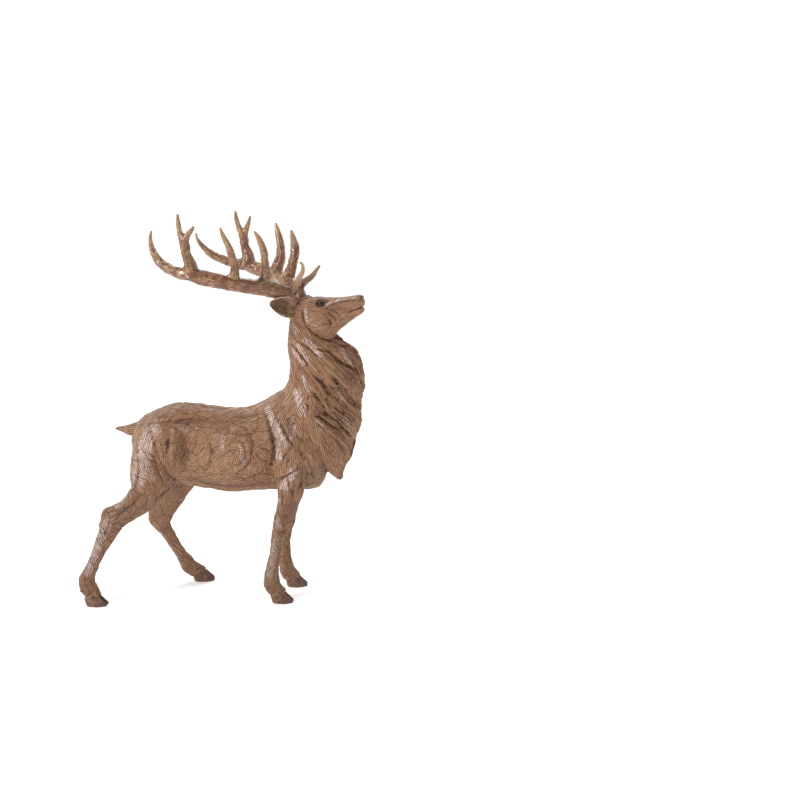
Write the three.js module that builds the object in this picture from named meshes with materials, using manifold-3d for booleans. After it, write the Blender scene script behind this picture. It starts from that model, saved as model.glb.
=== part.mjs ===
// A resin statue of a standing red deer stag, cast in one piece: walking pose, head lifted and
// turned a little to its right, antlers swept back. Millimetres, +Z up, nose towards +X and the
// stag's right side towards -Y. The origin is on the ground under the middle of the statue's box.

import * as THREE from "three";
import { mergeVertices } from "three/addons/utils/BufferGeometryUtils.js";
import Module from "manifold-3d";

// Driving dimensions.
const statueHeight = 600;
const headYaw = 16; // degrees, the nose turned towards the stag's right
const headRoll = 4; // degrees, the right antler carried a little higher
const antlerStoutness = 1; // share of the radii drawn for the beams and tines
const hoofLength = 35;
const hoofWidth = 22;
const hoofHeight = 18;
const toeCleft = 2;
const dewclawLength = 9;
const earLength = 44;
const earWidth = 31;
const earThickness = 8;
const eyeRadius = 4.6;
const nostrilRadius = 2.6;
const mouthLength = 24;
const mouthGap = 2.2;
const lockLength = 55;
const lockWidth = 20;
const lockThickness = 6;
const ruffLength = 165; // from the nape to the throat, along a lock
const ruffDepth = 185; // from the jaw to the tuft, across the locks
const weldDistance = 1e-4;

// The pose is drawn in six-hundredths of the statue's height, which are millimetres at 600 mm.
const unit = statueHeight / 600;
const degree = Math.PI / 180;
const vec = (x, y, z) => new THREE.Vector3(x, y, z);
const sides = [-1, 1];

const wasm = await Module();
wasm.setup();

// A closed three.js geometry as a solid that can be joined and cut, its faces turned outward.
function solid(geometry) {
  geometry.deleteAttribute("normal");
  geometry.deleteAttribute("uv");
  const merged = mergeVertices(geometry, weldDistance);
  const vertProperties = merged.attributes.position.array;
  const make = (triVerts) => new wasm.Manifold(new wasm.Mesh({ numProp: 3, vertProperties, triVerts }));
  const corners = new Uint32Array(merged.index.array);
  const made = make(corners);
  return made.volume() > 0 ? made : make(corners.reverse());
}

// A sphere whose rows of vertices are moved onto rings. place(t, turn) is the point of the ring at
// share t of the length, and centre(t) the ring's middle, which closes the two ends.
function ringSkin(rings, segments, place, centre) {
  const rows = rings + 1;
  const geometry = new THREE.SphereGeometry(1, segments, rows);
  for (let row = 0; row <= rows; row++) {
    const t = THREE.MathUtils.clamp((row - 1) / (rings - 1), 0, 1);
    const isPole = row === 0 || row === rows;
    for (let column = 0; column <= segments; column++) {
      const turn = (2 * Math.PI * (column % segments)) / segments;
      const point = isPole ? centre(t) : place(t, turn);
      geometry.attributes.position.setXYZ(row * (segments + 1) + column, ...point.toArray());
    }
  }
  return solid(geometry);
}

// A smooth curve through the rows of a drawn table: values(t) are its columns in millimetres.
function smoothRows(table) {
  const curves = [];
  for (let first = 0; first < table[0].length; first += 3) {
    const points = table.map((row) => vec(row[first], row[first + 1] ?? 0, row[first + 2] ?? 0));
    curves.push(new THREE.CatmullRomCurve3(points, false, "catmullrom", 0.5));
  }
  return (t) => curves.flatMap((curve) => curve.getPoint(t).multiplyScalar(unit).toArray());
}

// A body swept along rows of a point and two radii, the first of them across sideways.
// settle turns a row's point into the statue's frame.
function sweep(table, sideways, rings, segments, settle = vec) {
  const values = smoothRows(table);
  const line = (t) => settle(...values(t).slice(0, 3));
  const step = 0.5 / rings;
  const place = (t, turn) => {
    const ahead = line(Math.min(1, t + step)).sub(line(Math.max(0, t - step))).normalize();
    const fore = sideways.clone().cross(ahead).normalize();
    const side = ahead.clone().cross(fore);
    const [foreRadius, sideRadius] = values(t).slice(3);
    return line(t)
      .addScaledVector(fore, Math.cos(turn) * foreRadius)
      .addScaledVector(side, Math.sin(turn) * sideRadius);
  };
  return ringSkin(rings, segments, place, line);
}

// cos and sin of a turn around a superellipse: power 1 is an ellipse, and below 1 is squarer.
function squircle(turn, power) {
  const bend = (value) => Math.sign(value) * Math.abs(value) ** power;
  return [bend(Math.cos(turn)), bend(Math.sin(turn))];
}

// The barrel: rows of x, height of the back, height of the belly, half width.
const barrelRows = [
  [-133, 262, 228, 17],
  [-124, 278, 208, 29],
  [-107, 289, 190, 38],
  [-88, 297, 181, 42],
  [-66, 303, 180, 42],
  [-42, 303, 176, 41],
  [-16, 299, 172, 43],
  [12, 296, 168, 46],
  [42, 298, 170, 47],
  [70, 311, 171, 45],
  [98, 326, 172, 43],
  [122, 316, 171, 40],
  [140, 294, 172, 36],
  [151, 272, 180, 29],
  [159, 250, 200, 16],
];
const barrelPower = 0.86;

// Muscle and bone that swell the barrel's sides, and hollows between them: centre x and z, reach
// along x and z, and height.
const swellings = {
  haunch: [-92, 244, 26, 34, 6],
  hip: [-66, 272, 15, 13, 4],
  flank: [-42, 238, 15, 34, -6],
  ribs: [14, 214, 44, 30, 4],
  girth: [76, 226, 12, 52, -4],
  shoulder: [112, 246, 20, 44, 6],
};

function swelling(x, z) {
  const share = Object.values(swellings).map(([cx, cz, reachX, reachZ, height]) => {
    const away = ((x / unit - cx) / reachX) ** 2 + ((z / unit - cz) / reachZ) ** 2;
    return height * unit * Math.exp(-away / 2);
  });
  return share.reduce((sum, one) => sum + one, 0);
}

function barrel() {
  const values = smoothRows(barrelRows);
  const place = (t, turn) => {
    const [x, top, bottom, half] = values(t);
    const [across, upward] = squircle(turn, barrelPower);
    const z = (top + bottom) / 2 + (upward * (top - bottom)) / 2;
    return vec(x, across * (half + swelling(x, z)), z);
  };
  const centre = (t) => {
    const [x, top, bottom] = values(t);
    return vec(x, 0, (top + bottom) / 2);
  };
  return ringSkin(22, 18, place, centre);
}

// The neck under its ruff: rows of height, nape x, throat x, half width, from the jaw down to the
// tuft on the chest.
const neckRows = [
  [430, 106, 158, 18],
  [410, 104, 168, 23],
  [398, 103, 183, 28],
  [384, 103, 199, 31],
  [360, 105, 208, 35],
  [330, 98, 209, 39],
  [302, 75, 206, 42],
  [278, 82, 205, 41],
  [254, 102, 198, 38],
  [230, 126, 190, 32],
  [208, 148, 183, 20],
  [185, 173, 180, 4],
];
const throatEdge = 0.42; // how much the front of the neck is drawn in to an edge
const neck = smoothRows(neckRows);
const neckTop = neckRows[0][0] * unit;
const neckDepth = neckTop - neckRows[neckRows.length - 1][0] * unit;

// The neck's skin at share t of its rows; turn 0 is the throat. lift stands off the skin.
function neckSkin(t, turn, lift = 0) {
  const [z, nape, throat, half] = neck(t);
  const width = half * (1 - throatEdge * Math.max(0, Math.cos(turn)) ** 2);
  const x = (nape + throat) / 2 + Math.cos(turn) * ((throat - nape) / 2 + lift);
  return vec(x, Math.sin(turn) * (width + lift), z);
}

function neckMiddle(t) {
  const [z, nape, throat] = neck(t);
  return vec((nape + throat) / 2, 0, z);
}

// The ruff's locks lie side by side on each half of the neck and flow from the jaw and the nape
// to the throat. The two lines hold turns around the neck and shares of its length.
const lockRoots = new THREE.CatmullRomCurve3([
  vec(0.3, 0.03, 0),
  vec(1.5, 0.03, 0),
  vec(2.7, 0.06, 0),
  vec(2.5, 0.3, 0),
  vec(1.75, 0.55, 0),
]);
const lockTips = new THREE.LineCurve3(vec(-0.08, 0.14, 0), vec(-0.08, 1, 0));
const locksAcross = Math.max(1, Math.round((ruffDepth * unit) / lockWidth));
const locksAlong = (ruffLength * unit) / lockLength;
const cellsPerLock = 3;
const rootHeight = 0.45; // height of a lock's root, as a share of its free end's
const crestRise = 0.62; // share of a lock's width that its crest takes to rise
const crestFall = 0.34; // and to fall away over the next lock
const edgeFades = [8, 14]; // how fast the locks rise from the ruff's edges, along and across
const ruffLift = 0.5; // how far the locks' lowest lines stay above the neck
const nudge = 1e-6; // keeps a row of points that lies on a lock's border in the lock after it

// A lock's height at its share across, which falls away quickly on one side as on an overlapped
// tile, and at its share along, where the free end stands highest.
function lockHeight(across, along) {
  const index = Math.floor(across + nudge);
  const rise = Math.min((across - index) / crestRise, (1 - across + index) / crestFall);
  const run = (along + 0.5 * (index % 2) + nudge) % 1;
  return lockThickness * THREE.MathUtils.clamp(rise, 0, 1) * (rootHeight + (1 - rootHeight) * run);
}

function ruffHalf(side) {
  const cells = [Math.ceil(locksAlong * cellsPerLock), locksAcross * cellsPerLock];
  const sheet = new THREE.BoxGeometry(1, 1, 1, ...cells, 1);
  sheet.translate(0.5, 0.5, 0.5);
  const position = sheet.attributes.position;
  for (let i = 0; i < position.count; i++) {
    const [along, across] = [position.getX(i), position.getY(i)];
    const spot = lockRoots.getPointAt(across).lerp(lockTips.getPointAt(across), along);
    const border = Math.min(1, edgeFades[0] * along, edgeFades[1] * Math.min(across, 1 - across));
    const height = lockHeight(across * locksAcross, along * locksAlong) * border;
    const lift = position.getZ(i) > 0.5 ? height + ruffLift : -0.5 * lockThickness;
    position.setXYZ(i, ...neckSkin(spot.y, side * spot.x, lift).toArray());
  }
  return solid(sheet);
}

// Legs down to the pastern: rows of x, y, z, half thickness fore and aft, half thickness sideways.
// heel is where the hoof's heel stands, and splay turns the toes outward from +X, in degrees.
const legs = [
  {
    name: "right hind",
    heel: [-209, -47],
    splay: -4,
    rows: [
      [-82, -12, 276, 14, 8],
      [-91, -19, 256, 30, 18],
      [-98, -26, 226, 35, 21],
      [-103, -30, 198, 33, 19],
      [-111, -33, 176, 27, 16],
      [-124, -36, 161, 21.5, 13],
      [-142, -39, 147, 17.5, 10],
      [-160, -42, 137, 19, 9.5],
      [-167, -43, 125, 17, 9],
      [-172, -43, 112, 14.5, 8.6],
      [-180, -44, 97, 11.6, 7.8],
      [-190, -46, 75, 9.6, 7],
      [-198, -47, 59, 9.7, 7.2],
      [-206, -47, 38, 13, 9],
      [-203, -47, 26, 13.2, 9.4],
    ],
  },
  {
    name: "left hind",
    heel: [-61, 52],
    splay: 3,
    rows: [
      [-80, 12, 276, 14, 8],
      [-84, 19, 254, 30, 18],
      [-82, 25, 220, 33, 21],
      [-72, 30, 186, 28, 18],
      [-80, 33, 158, 21, 13],
      [-93, 36, 134, 17.5, 10.5],
      [-107, 39, 111, 19.5, 9.5],
      [-106, 41, 99, 15.5, 9],
      [-97, 44, 82, 10.8, 7.8],
      [-88, 47, 62, 9.5, 7.2],
      [-80, 49, 47, 9.8, 7.4],
      [-72, 51, 33, 12.3, 9],
      [-65, 52, 22, 12.5, 9.4],
    ],
  },
  {
    name: "right fore",
    heel: [72, -35],
    splay: -3,
    rows: [
      [100, -13, 300, 12, 8],
      [106, -21, 262, 27, 17],
      [106, -27, 220, 30, 18],
      [105, -30, 186, 22, 16],
      [103, -32, 168, 18, 13],
      [97, -33, 148, 14.6, 10.8],
      [92, -34, 128, 15, 10.4],
      [87, -34, 114, 12, 8.8],
      [82, -35, 98, 9.6, 7.5],
      [79, -35, 75, 9, 7],
      [74, -35, 51, 10, 7.4],
      [73, -35, 35, 12.4, 9],
      [75, -35, 24, 13, 9.4],
    ],
  },
  {
    name: "left fore",
    heel: [89, 29],
    splay: 3,
    rows: [
      [100, 13, 300, 12, 8],
      [106, 20, 262, 27, 17],
      [106, 24, 220, 29, 18],
      [104, 26, 182, 20, 15],
      [101, 27, 161, 18.5, 12.5],
      [97, 28, 142, 16, 11],
      [93, 28, 124, 14.6, 10],
      [92, 28, 109, 13.4, 9],
      [90, 29, 94, 9.8, 7.6],
      [89, 29, 70, 8.8, 7],
      [89, 29, 48, 9.6, 7.4],
      [90, 29, 33, 11.8, 9],
      [93, 29, 22, 12.2, 9.4],
    ],
  },
];

// Where a leg ends inside its hoof: shares of the hoof's length, height, length and width.
const legEnd = { ahead: 0.42, height: 0.6, foreRadius: 0.32, sideRadius: 0.42 };

function leg({ heel: [x, y], rows }) {
  const inHoof = [
    x + (legEnd.ahead * hoofLength) / unit,
    y,
    (legEnd.height * hoofHeight) / unit,
    (legEnd.foreRadius * hoofLength) / unit,
    (legEnd.sideRadius * hoofWidth) / unit,
  ];
  return sweep([...rows, inHoof], vec(0, 1, 0), 18, 8);
}

// A toe's middle and half length as shares of the hoof's length, at the sole and at the coronet,
// the coronet's slant up towards the front, and how much a toe is drawn in to the tip and slimmer
// at the coronet.
const toeShape = {
  middle: [0.54, 0.27],
  half: [0.48, 0.3],
  slant: 0.22,
  tipNarrowing: 0.5,
  coronetNarrowing: 0.1,
};

// One toe of a cloven hoof, heel at the origin: slices from the flat sole up to the coronet.
function toe(side) {
  const width = (hoofWidth - toeCleft) / 4;
  const middle = side * (width + toeCleft / 2);
  const half = (t) => THREE.MathUtils.lerp(...toeShape.half, t);
  const place = (t, turn) => {
    const share = THREE.MathUtils.lerp(...toeShape.middle, t) + half(t) * Math.cos(turn);
    const tip = 1 - toeShape.tipNarrowing * Math.max(0, Math.cos(turn)) ** 2;
    const narrowing = tip * (1 - toeShape.coronetNarrowing * t);
    const z = hoofHeight * t * (1 + toeShape.slant * Math.cos(turn));
    return vec(hoofLength * share, middle + width * narrowing * Math.sin(turn), z);
  };
  return ringSkin(4, 10, place, (t) => place(t, 0).add(place(t, Math.PI)).multiplyScalar(0.5));
}

// The pair of small claws behind the fetlock, pointing down and back: radii and rise as shares of
// their length, and their place as shares of the hoof's length and width.
const clawShape = { radii: [0.3, 0.28, 0.5], slant: 24, rise: 0.9, behind: 0.1, apart: 0.27 };

function dewclaw(side) {
  const claw = new THREE.SphereGeometry(1, 6, 4)
    .scale(...clawShape.radii.map((share) => share * dewclawLength))
    .rotateY(clawShape.slant * degree)
    .translate(
      -clawShape.behind * hoofLength,
      clawShape.apart * side * hoofWidth,
      hoofHeight + clawShape.rise * dewclawLength,
    );
  return solid(claw);
}

function hoof({ heel: [x, y], splay }) {
  return sides
    .flatMap((side) => [toe(side), dewclaw(side)])
    .map((part) => part.rotate([0, 0, splay]).translate([x * unit, y * unit, 0]));
}

// The head's own frame, from the poll: forward along the nose, out to the stag's right, and up.
const poll = vec(118.5, 0, 460.6).multiplyScalar(unit);
const forward = vec(Math.cos(headYaw * degree), -Math.sin(headYaw * degree), 0);
const level = vec(-Math.sin(headYaw * degree), -Math.cos(headYaw * degree), 0);
const out = level.clone().multiplyScalar(Math.cos(headRoll * degree));
out.setZ(Math.sin(headRoll * degree));
const up = level.clone().multiplyScalar(-Math.sin(headRoll * degree));
up.setZ(Math.cos(headRoll * degree));
const headTurn = new THREE.Matrix4().makeBasis(forward, out.clone().negate(), up);

function inHead(ahead, outward, upward) {
  return poll
    .clone()
    .addScaledVector(forward, ahead)
    .addScaledVector(out, outward)
    .addScaledVector(up, upward);
}

// The skull and muzzle: rows of distance ahead, top, bottom, half width.
const skullRows = [
  [-14, -5, -24, 12],
  [-4, 2, -38, 19],
  [12, 4, -46, 21.5],
  [28, 6, -52, 21],
  [42, 6.5, -56, 18.5],
  [54, 7, -53, 15.5],
  [64, 8, -42, 13],
  [75, 9, -33, 11],
  [86, 11, -24, 10],
  [95, 12.5, -18, 10],
  [101, 10.5, -13, 7.5],
];
const jawNarrowing = 0.2; // how much slimmer the jaw is than the brow
const skullPower = 0.9;

function skull() {
  const values = smoothRows(skullRows);
  const place = (t, turn) => {
    const [ahead, top, bottom, half] = values(t);
    const [across, upward] = squircle(turn, skullPower);
    const width = half * (1 + jawNarrowing * upward);
    return inHead(ahead, across * width, (top + bottom) / 2 + (upward * (top - bottom)) / 2);
  };
  const centre = (t) => {
    const [ahead, top, bottom] = values(t);
    return inHead(ahead, 0, (top + bottom) / 2);
  };
  return ringSkin(14, 12, place, centre);
}

// Places in the head's frame: ahead, outward, upward.
const eyePlace = [40, 18, -3];
const nostrilPlace = [100, 6.5, 4.5];
const mouthPlace = [103, 0, -5];
const earPlace = [4, 16, -12];

function headPlace([ahead, outward, upward], side) {
  return inHead(ahead * unit, side * outward * unit, upward * unit);
}

function headDirection([ahead, outward, upward], side) {
  return inHead(ahead, side * outward, upward).sub(poll);
}

// The eye under its brow.
function eye(side) {
  const at = headPlace(eyePlace, side);
  return solid(new THREE.SphereGeometry(eyeRadius, 8, 6).translate(at.x, at.y, at.z));
}

// The line between the lips and the two nostrils, cut into the muzzle.
const mouthTilt = 22 * degree;
const mouthCutWidth = 40 * unit; // wider than the muzzle

function mouthAndNostrils() {
  const lips = new THREE.BoxGeometry(2 * mouthLength, mouthCutWidth, mouthGap)
    .rotateY(-mouthTilt)
    .applyMatrix4(headTurn);
  const at = headPlace(mouthPlace, 1);
  const nostrils = sides.map((side) => {
    const hole = headPlace(nostrilPlace, side);
    return new THREE.SphereGeometry(nostrilRadius, 6, 4).translate(hole.x, hole.y, hole.z);
  });
  return [lips.translate(at.x, at.y, at.z), ...nostrils].map(solid);
}

// A leaf-shaped ear reaching out and back from the side of the head, its hollow turned outward.
const earAim = [-0.68, 0.7, 0.23]; // ahead, outward and upward parts of the ear's direction
const earFacing = [0.45, 0.8, 0.1]; // and of the way that its hollow faces
const earCup = 0.35; // how far the edges turn forward, as a share of half the ear's breadth
const earThinning = 0.6;

// A leaf's breadth at share t of its length, from a stem to a narrow tip.
function leafBreadth(t) {
  return Math.sin(Math.PI * (0.16 + 0.79 * t)) ** 0.75;
}

function ear(side) {
  const root = headPlace(earPlace, side);
  const axis = headDirection(earAim, side).normalize();
  const front = headDirection(earFacing, side).projectOnPlane(axis).normalize();
  const broad = axis.clone().cross(front);
  const middle = (t) => root.clone().addScaledVector(axis, t * earLength);
  const place = (t, turn) => {
    const breadth = (earWidth / 2) * leafBreadth(t);
    const across = Math.cos(turn);
    const cup = earCup * breadth * across * across * Math.min(1, 3 * t);
    const thickness = (earThickness / 2) * (1 - earThinning * t) * Math.sin(turn);
    return middle(t)
      .addScaledVector(broad, breadth * across)
      .addScaledVector(front, cup + thickness);
  };
  return ringSkin(7, 10, place, middle);
}

// The beam of an antler and its tines: rows of distance ahead, outward, upward, radius, and what
// the right antler has above the drawn height and the left antler below it.
const beamRows = [
  [-2, 12, -8, 9],
  [-6, 18, 5, 12],
  [-17, 28, 13, 11.5],
  [-34, 43, 20, 12.2],
  [-50, 65, 23, 11],
  [-67, 81, 27, 10.6],
  [-84, 92, 31, 10.6],
  [-107, 100, 35.5, 11],
  [-124, 104, 40, 9.7],
  [-140, 104, 41, 8.5],
  [-160, 102, 47, 7.2, 1],
  [-176, 97, 55, 6.4, 2],
  [-190, 87.5, 68.5, 4.7, 3],
  [-197, 80, 82, 2.9, 4],
  [-198, 75, 93, 1.4, 4.5],
];
const tineRows = {
  crown: [
    [-121, 103, 37, 12],
    [-123, 105, 54, 8.6],
    [-129, 106, 70, 6.4],
    [-131, 106, 84, 6.8],
    [-138, 105, 98, 4.1],
    [-142, 103, 113, 3.2],
    [-143, 102, 124, 1.5],
  ],
  fork: [
    [-131, 106, 84, 6],
    [-127, 106, 94, 4.5],
    [-122, 104, 103, 3.2, -2],
    [-118, 102, 112, 1.5, -4.5],
  ],
  third: [
    [-67, 80, 28, 9],
    [-65, 84, 42, 7.4],
    [-62, 89, 54, 6.3],
    [-64, 94, 67, 5.4],
    [-67, 98, 80, 4.9],
    [-73, 103, 95, 3.6],
    [-77, 105, 107, 1.5],
  ],
  second: [
    [-35, 43, 22, 9],
    [-31, 52, 43, 6.3, 3],
    [-29, 58, 58, 5.4, 3],
    [-29, 63, 72, 5.5, 3],
    [-33, 68, 87, 4, 3],
    [-39, 73, 100, 1.5, 2],
  ],
};
const browTineRows = {
  right: [
    [-6, 18, 8, 6.5],
    [4, 22, 22, 5.2],
    [11, 27, 33, 4],
    [19, 32, 46, 2.8],
    [20, 37, 55, 1.8],
    [16, 39, 59, 1.2],
  ],
  left: [
    [-12, 18, 8, 6.5],
    [-6, 22, 17, 5.6],
    [1, 26, 25, 4.8],
    [10, 31, 33, 3.9],
    [15, 35, 41, 2.8],
    [20, 38, 49, 1.4],
  ],
};

// A round horn, its sections square to the plane that it bends in.
function horn(table, side, rings, segments) {
  const settle = (ahead, outward, upward) => inHead(ahead, side * outward, upward);
  const rows = table.map(([ahead, outward, upward, radius, tilt = 0]) => {
    const stout = radius * antlerStoutness;
    return [ahead, outward, upward + side * tilt, stout, stout];
  });
  const [start, middle, end] = [0, Math.floor(rows.length / 2), rows.length - 1].map((row) =>
    settle(...rows[row].slice(0, 3)),
  );
  const bendAxis = middle.clone().sub(start).cross(end.clone().sub(start)).normalize();
  return sweep(rows, bendAxis, rings, segments, settle);
}

function antler(side) {
  const browTine = browTineRows[side > 0 ? "right" : "left"];
  return [
    horn(beamRows, side, 15, 7),
    ...Object.values(tineRows).map((rows) => horn(rows, side, rows.length, 6)),
    horn(browTine, side, browTine.length, 6),
  ];
}

// The short pointed tail, held level.
const tailRows = [
  [-114, 0, 266, 14, 16],
  [-134, 0, 263, 9.5, 11],
  [-147, 0, 264, 6, 7],
  [-160, 0, 265, 1.5, 2],
];

const parts = [
  barrel(),
  ringSkin(14, 16, neckSkin, neckMiddle),
  ...sides.map(ruffHalf),
  skull(),
  sweep(tailRows, vec(0, 1, 0), 5, 8),
  ...legs.map(leg),
  ...legs.flatMap(hoof),
  ...sides.flatMap((side) => [ear(side), eye(side), ...antler(side)]),
];
const joined = parts.reduce((whole, part) => whole.add(part));
const carved = mouthAndNostrils().reduce((whole, cut) => whole.subtract(cut), joined);

function geometryOf(body) {
  const mesh = body.getMesh();
  const geometry = new THREE.BufferGeometry();
  geometry.setAttribute("position", new THREE.BufferAttribute(mesh.vertProperties, 3));
  geometry.setIndex(new THREE.BufferAttribute(mesh.triVerts, 1));
  return geometry;
}

const resin = new THREE.MeshStandardMaterial({ color: 0x9a7455, roughness: 0.55, metalness: 0 });
const stag = new THREE.Mesh(geometryOf(carved), resin);
stag.name = "stag";
stag.geometry.computeBoundingBox();
const middle = stag.geometry.boundingBox.getCenter(vec(0, 0, 0));
stag.position.set(-middle.x, -middle.y, 0);

const statue = new THREE.Group();
statue.add(stag);
export default statue;
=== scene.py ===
# A resin statue of a walking stag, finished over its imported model: metres, nose towards +X.
from itertools import product

import bpy
import numpy as np
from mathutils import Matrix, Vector


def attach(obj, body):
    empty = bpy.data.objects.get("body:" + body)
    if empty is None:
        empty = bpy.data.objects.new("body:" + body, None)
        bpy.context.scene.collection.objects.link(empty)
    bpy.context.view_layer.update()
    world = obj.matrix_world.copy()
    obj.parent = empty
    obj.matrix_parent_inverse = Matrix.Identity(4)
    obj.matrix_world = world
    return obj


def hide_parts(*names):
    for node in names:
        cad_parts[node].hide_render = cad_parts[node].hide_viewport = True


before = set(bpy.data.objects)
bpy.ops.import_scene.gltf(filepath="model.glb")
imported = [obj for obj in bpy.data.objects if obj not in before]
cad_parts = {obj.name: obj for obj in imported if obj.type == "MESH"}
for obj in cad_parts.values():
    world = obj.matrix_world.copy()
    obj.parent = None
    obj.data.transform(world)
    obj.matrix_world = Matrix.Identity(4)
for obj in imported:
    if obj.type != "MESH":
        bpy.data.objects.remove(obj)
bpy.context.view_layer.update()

# A millimetre in metres.
MM = 0.001
# From the sculptor's drawing, in millimetres, to the part's origin under the middle of its box.
DRAWING_SHIFT = np.array([0.905, -37.9, 0.0])
COARSE = 1.0

# The camera, the floor and the light.


def put_in(name, data):
    """A new object of the scene."""
    placed = bpy.data.objects.new(name, data)
    bpy.context.scene.collection.objects.link(placed)
    return placed


def set_camera():
    """The photograph's view: square on to the stag's right side, looking down 14 degrees."""
    camera = bpy.data.cameras.new("camera")
    camera.sensor_width, camera.lens = 36, 57
    camera.dof.use_dof = False
    placed = put_in("camera", camera)
    placed.location = (0.2694, -1.8815, 0.76865)
    placed.rotation_euler = (np.radians(90 - 14), 0, 0)
    bpy.context.scene.camera = placed


def set_stage(name, corners, glow):
    """A flat pale sheet that glows a little, as paper lit from all round does."""
    sheet_mesh = bpy.data.meshes.new(name)
    sheet_mesh.from_pydata(corners, [], [(0, 1, 2, 3)])
    pale = bpy.data.materials.new(name)
    pale.use_nodes = True
    surface = pale.node_tree.nodes["Principled BSDF"].inputs
    surface["Base Color"].default_value = (0.88, 0.88, 0.88, 1)
    surface["Roughness"].default_value = 0.9
    surface["Specular IOR Level"].default_value = 0.1
    surface["Emission Color"].default_value = (1, 1, 1, 1)
    surface["Emission Strength"].default_value = glow
    sheet_mesh.materials.append(pale)
    put_in(name, sheet_mesh)


def set_light():
    """A white studio: even light from all round, and three soft lamps aimed at the statue."""
    world = bpy.data.worlds.new("studio")
    world.use_nodes = True
    background = world.node_tree.nodes["Background"].inputs
    background["Color"].default_value = (1, 1, 1, 1)
    background["Strength"].default_value = 0.36
    bpy.context.scene.world = world
    # Place, width and power.
    lamps = {
        "key": ((-1.9, -1.3, 2.1), 0.5, 56),
        "fill": ((1.9, -1.9, 0.9), 1.6, 4),
        "back": ((0.2, 1.9, 1.7), 1.4, 10),
    }
    for name, (place, size, power) in lamps.items():
        lamp = bpy.data.lights.new(name, "AREA")
        lamp.size, lamp.energy = size, power
        placed = put_in(name, lamp)
        placed.location = place
        aim = Vector((0, 0, 0.3)) - Vector(place)
        placed.rotation_euler = aim.to_track_quat("-Z", "Y").to_euler()


set_camera()
# How far the floor and the wall reach, and how far behind the stag the wall stands.
REACH, WALL = 14, 9
foot = [(-REACH, WALL, 0), (REACH, WALL, 0)]
set_stage("floor", [(-REACH, -REACH, 0), (REACH, -REACH, 0), *foot[::-1]], 0.38)
set_stage("wall", [*foot, (REACH, WALL, REACH), (-REACH, WALL, REACH)], 1.2)
set_light()
bpy.context.scene.view_settings.view_transform = "Standard"

# Surfaces as arrays.


def unit(vectors):
    """The vectors at length one."""
    return vectors / np.maximum(np.linalg.norm(vectors, axis=-1, keepdims=True), 1e-9)


def dot(a, b):
    """The scalar product of each pair of rows."""
    return (a * b).sum(-1)


def ramp(value, low, high):
    """0 below low, 1 above high and a smooth S between."""
    share = np.clip((value - low) / (high - low), 0, 1)
    return share * share * (3 - 2 * share)


def smooth(table, t):
    """Catmull-Rom curve through the table's rows, which are evenly spaced in t from 0 to 1."""
    rows = np.asarray(table, float)
    rows = np.vstack([2 * rows[0] - rows[1], rows, 2 * rows[-1] - rows[-2]])
    spot = np.clip(np.asarray(t, float), 0, 1) * (len(rows) - 3)
    first = np.minimum(spot.astype(int), len(rows) - 4)
    w = (spot - first)[..., None]
    p0, p1, p2, p3 = (rows[first + k] for k in range(4))
    bend = (2 * p0 - 5 * p1 + 4 * p2 - p3) * w**2 + (3 * p1 - p0 - 3 * p2 + p3) * w**3
    return p1 + 0.5 * ((p2 - p0) * w + bend)


def columns(table, t):
    """The curve through the table's rows, as one array for each column."""
    return np.moveaxis(smooth(table, t), -1, 0)


class Skin:
    """One closed surface: points, triangles and the direction that the hair runs at each point."""

    def __init__(self, points, faces, flow):
        """Turns the triangles outward if the volume that they wrap is below zero."""
        a, b, c = (points[faces[:, k]] for k in range(3))
        if dot(a, np.cross(b, c)).sum() < 0:
            faces = faces[:, ::-1]
        self.points, self.faces, self.flow = points, faces, unit(flow)


def loft(grid):
    """A tube through rings of points, closed by a pole at the middle of each end ring: the
    quads between neighbouring rings are split in two, and each pole fans out to its ring."""
    rings, segments = grid.shape[:2]
    index = np.arange(rings * segments).reshape(rings, segments)
    after = np.roll(index, -1, 1)
    a, b, c, d = index[:-1], after[:-1], after[1:], index[1:]
    faces = [np.stack(half, -1).reshape(-1, 3) for half in ((a, b, c), (a, c, d))]
    poles = [rings * segments, rings * segments + 1]
    faces.append(np.stack([after[0], index[0], np.full(segments, poles[0])], -1))
    faces.append(np.stack([index[-1], after[-1], np.full(segments, poles[1])], -1))
    flow = np.gradient(grid, axis=0)
    ends = np.stack([grid[0].mean(0), grid[-1].mean(0)])
    end_flow = np.stack([flow[0].mean(0), flow[-1].mean(0)])
    points = np.vstack([grid.reshape(-1, 3), ends])
    return Skin(points, np.vstack(faces), np.vstack([flow.reshape(-1, 3), end_flow]))


def turns(rings, segments):
    """Shares along and turns around for a tube's grid."""
    t = np.linspace(0, 1, rings)[:, None]
    turn = np.linspace(0, 2 * np.pi, segments, endpoint=False)[None, :]
    return np.broadcast_arrays(t, turn)


def sweep(table, sideways, rings, segments, settle=None, shaping=None):
    """A tube along rows of a point and two radii: at each share of the length, the point plus
    cos(turn) times the first radius across the path and sideways, plus sin(turn) times the
    second radius along sideways. shaping gives the share of the radii that each turn keeps."""
    t, turn = turns(rings, segments)
    values = smooth(table, t[:, 0])
    line = values[:, :3] if settle is None else settle(values[:, :3])
    ahead = unit(np.gradient(line, axis=0))
    fore = unit(np.cross(sideways, ahead))
    side = np.cross(ahead, fore)
    around = fore[:, None] * (np.cos(turn) * values[:, 3:4])[..., None]
    around = around + side[:, None] * (np.sin(turn) * values[:, 4:5])[..., None]
    if shaping is not None:
        around = around * shaping(line, turn)[..., None]
    return loft(line[:, None] + around)


def bend(value, power):
    """The value's size to a power, with its sign kept."""
    return np.sign(value) * np.abs(value) ** power


def joined(skins):
    """The points and the triangles of several skins, each as one array."""
    starts = np.cumsum([0] + [len(s.points) for s in skins[:-1]])
    faces = np.vstack([s.faces + start for s, start in zip(skins, starts)])
    return np.vstack([s.points for s in skins]), faces


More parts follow.
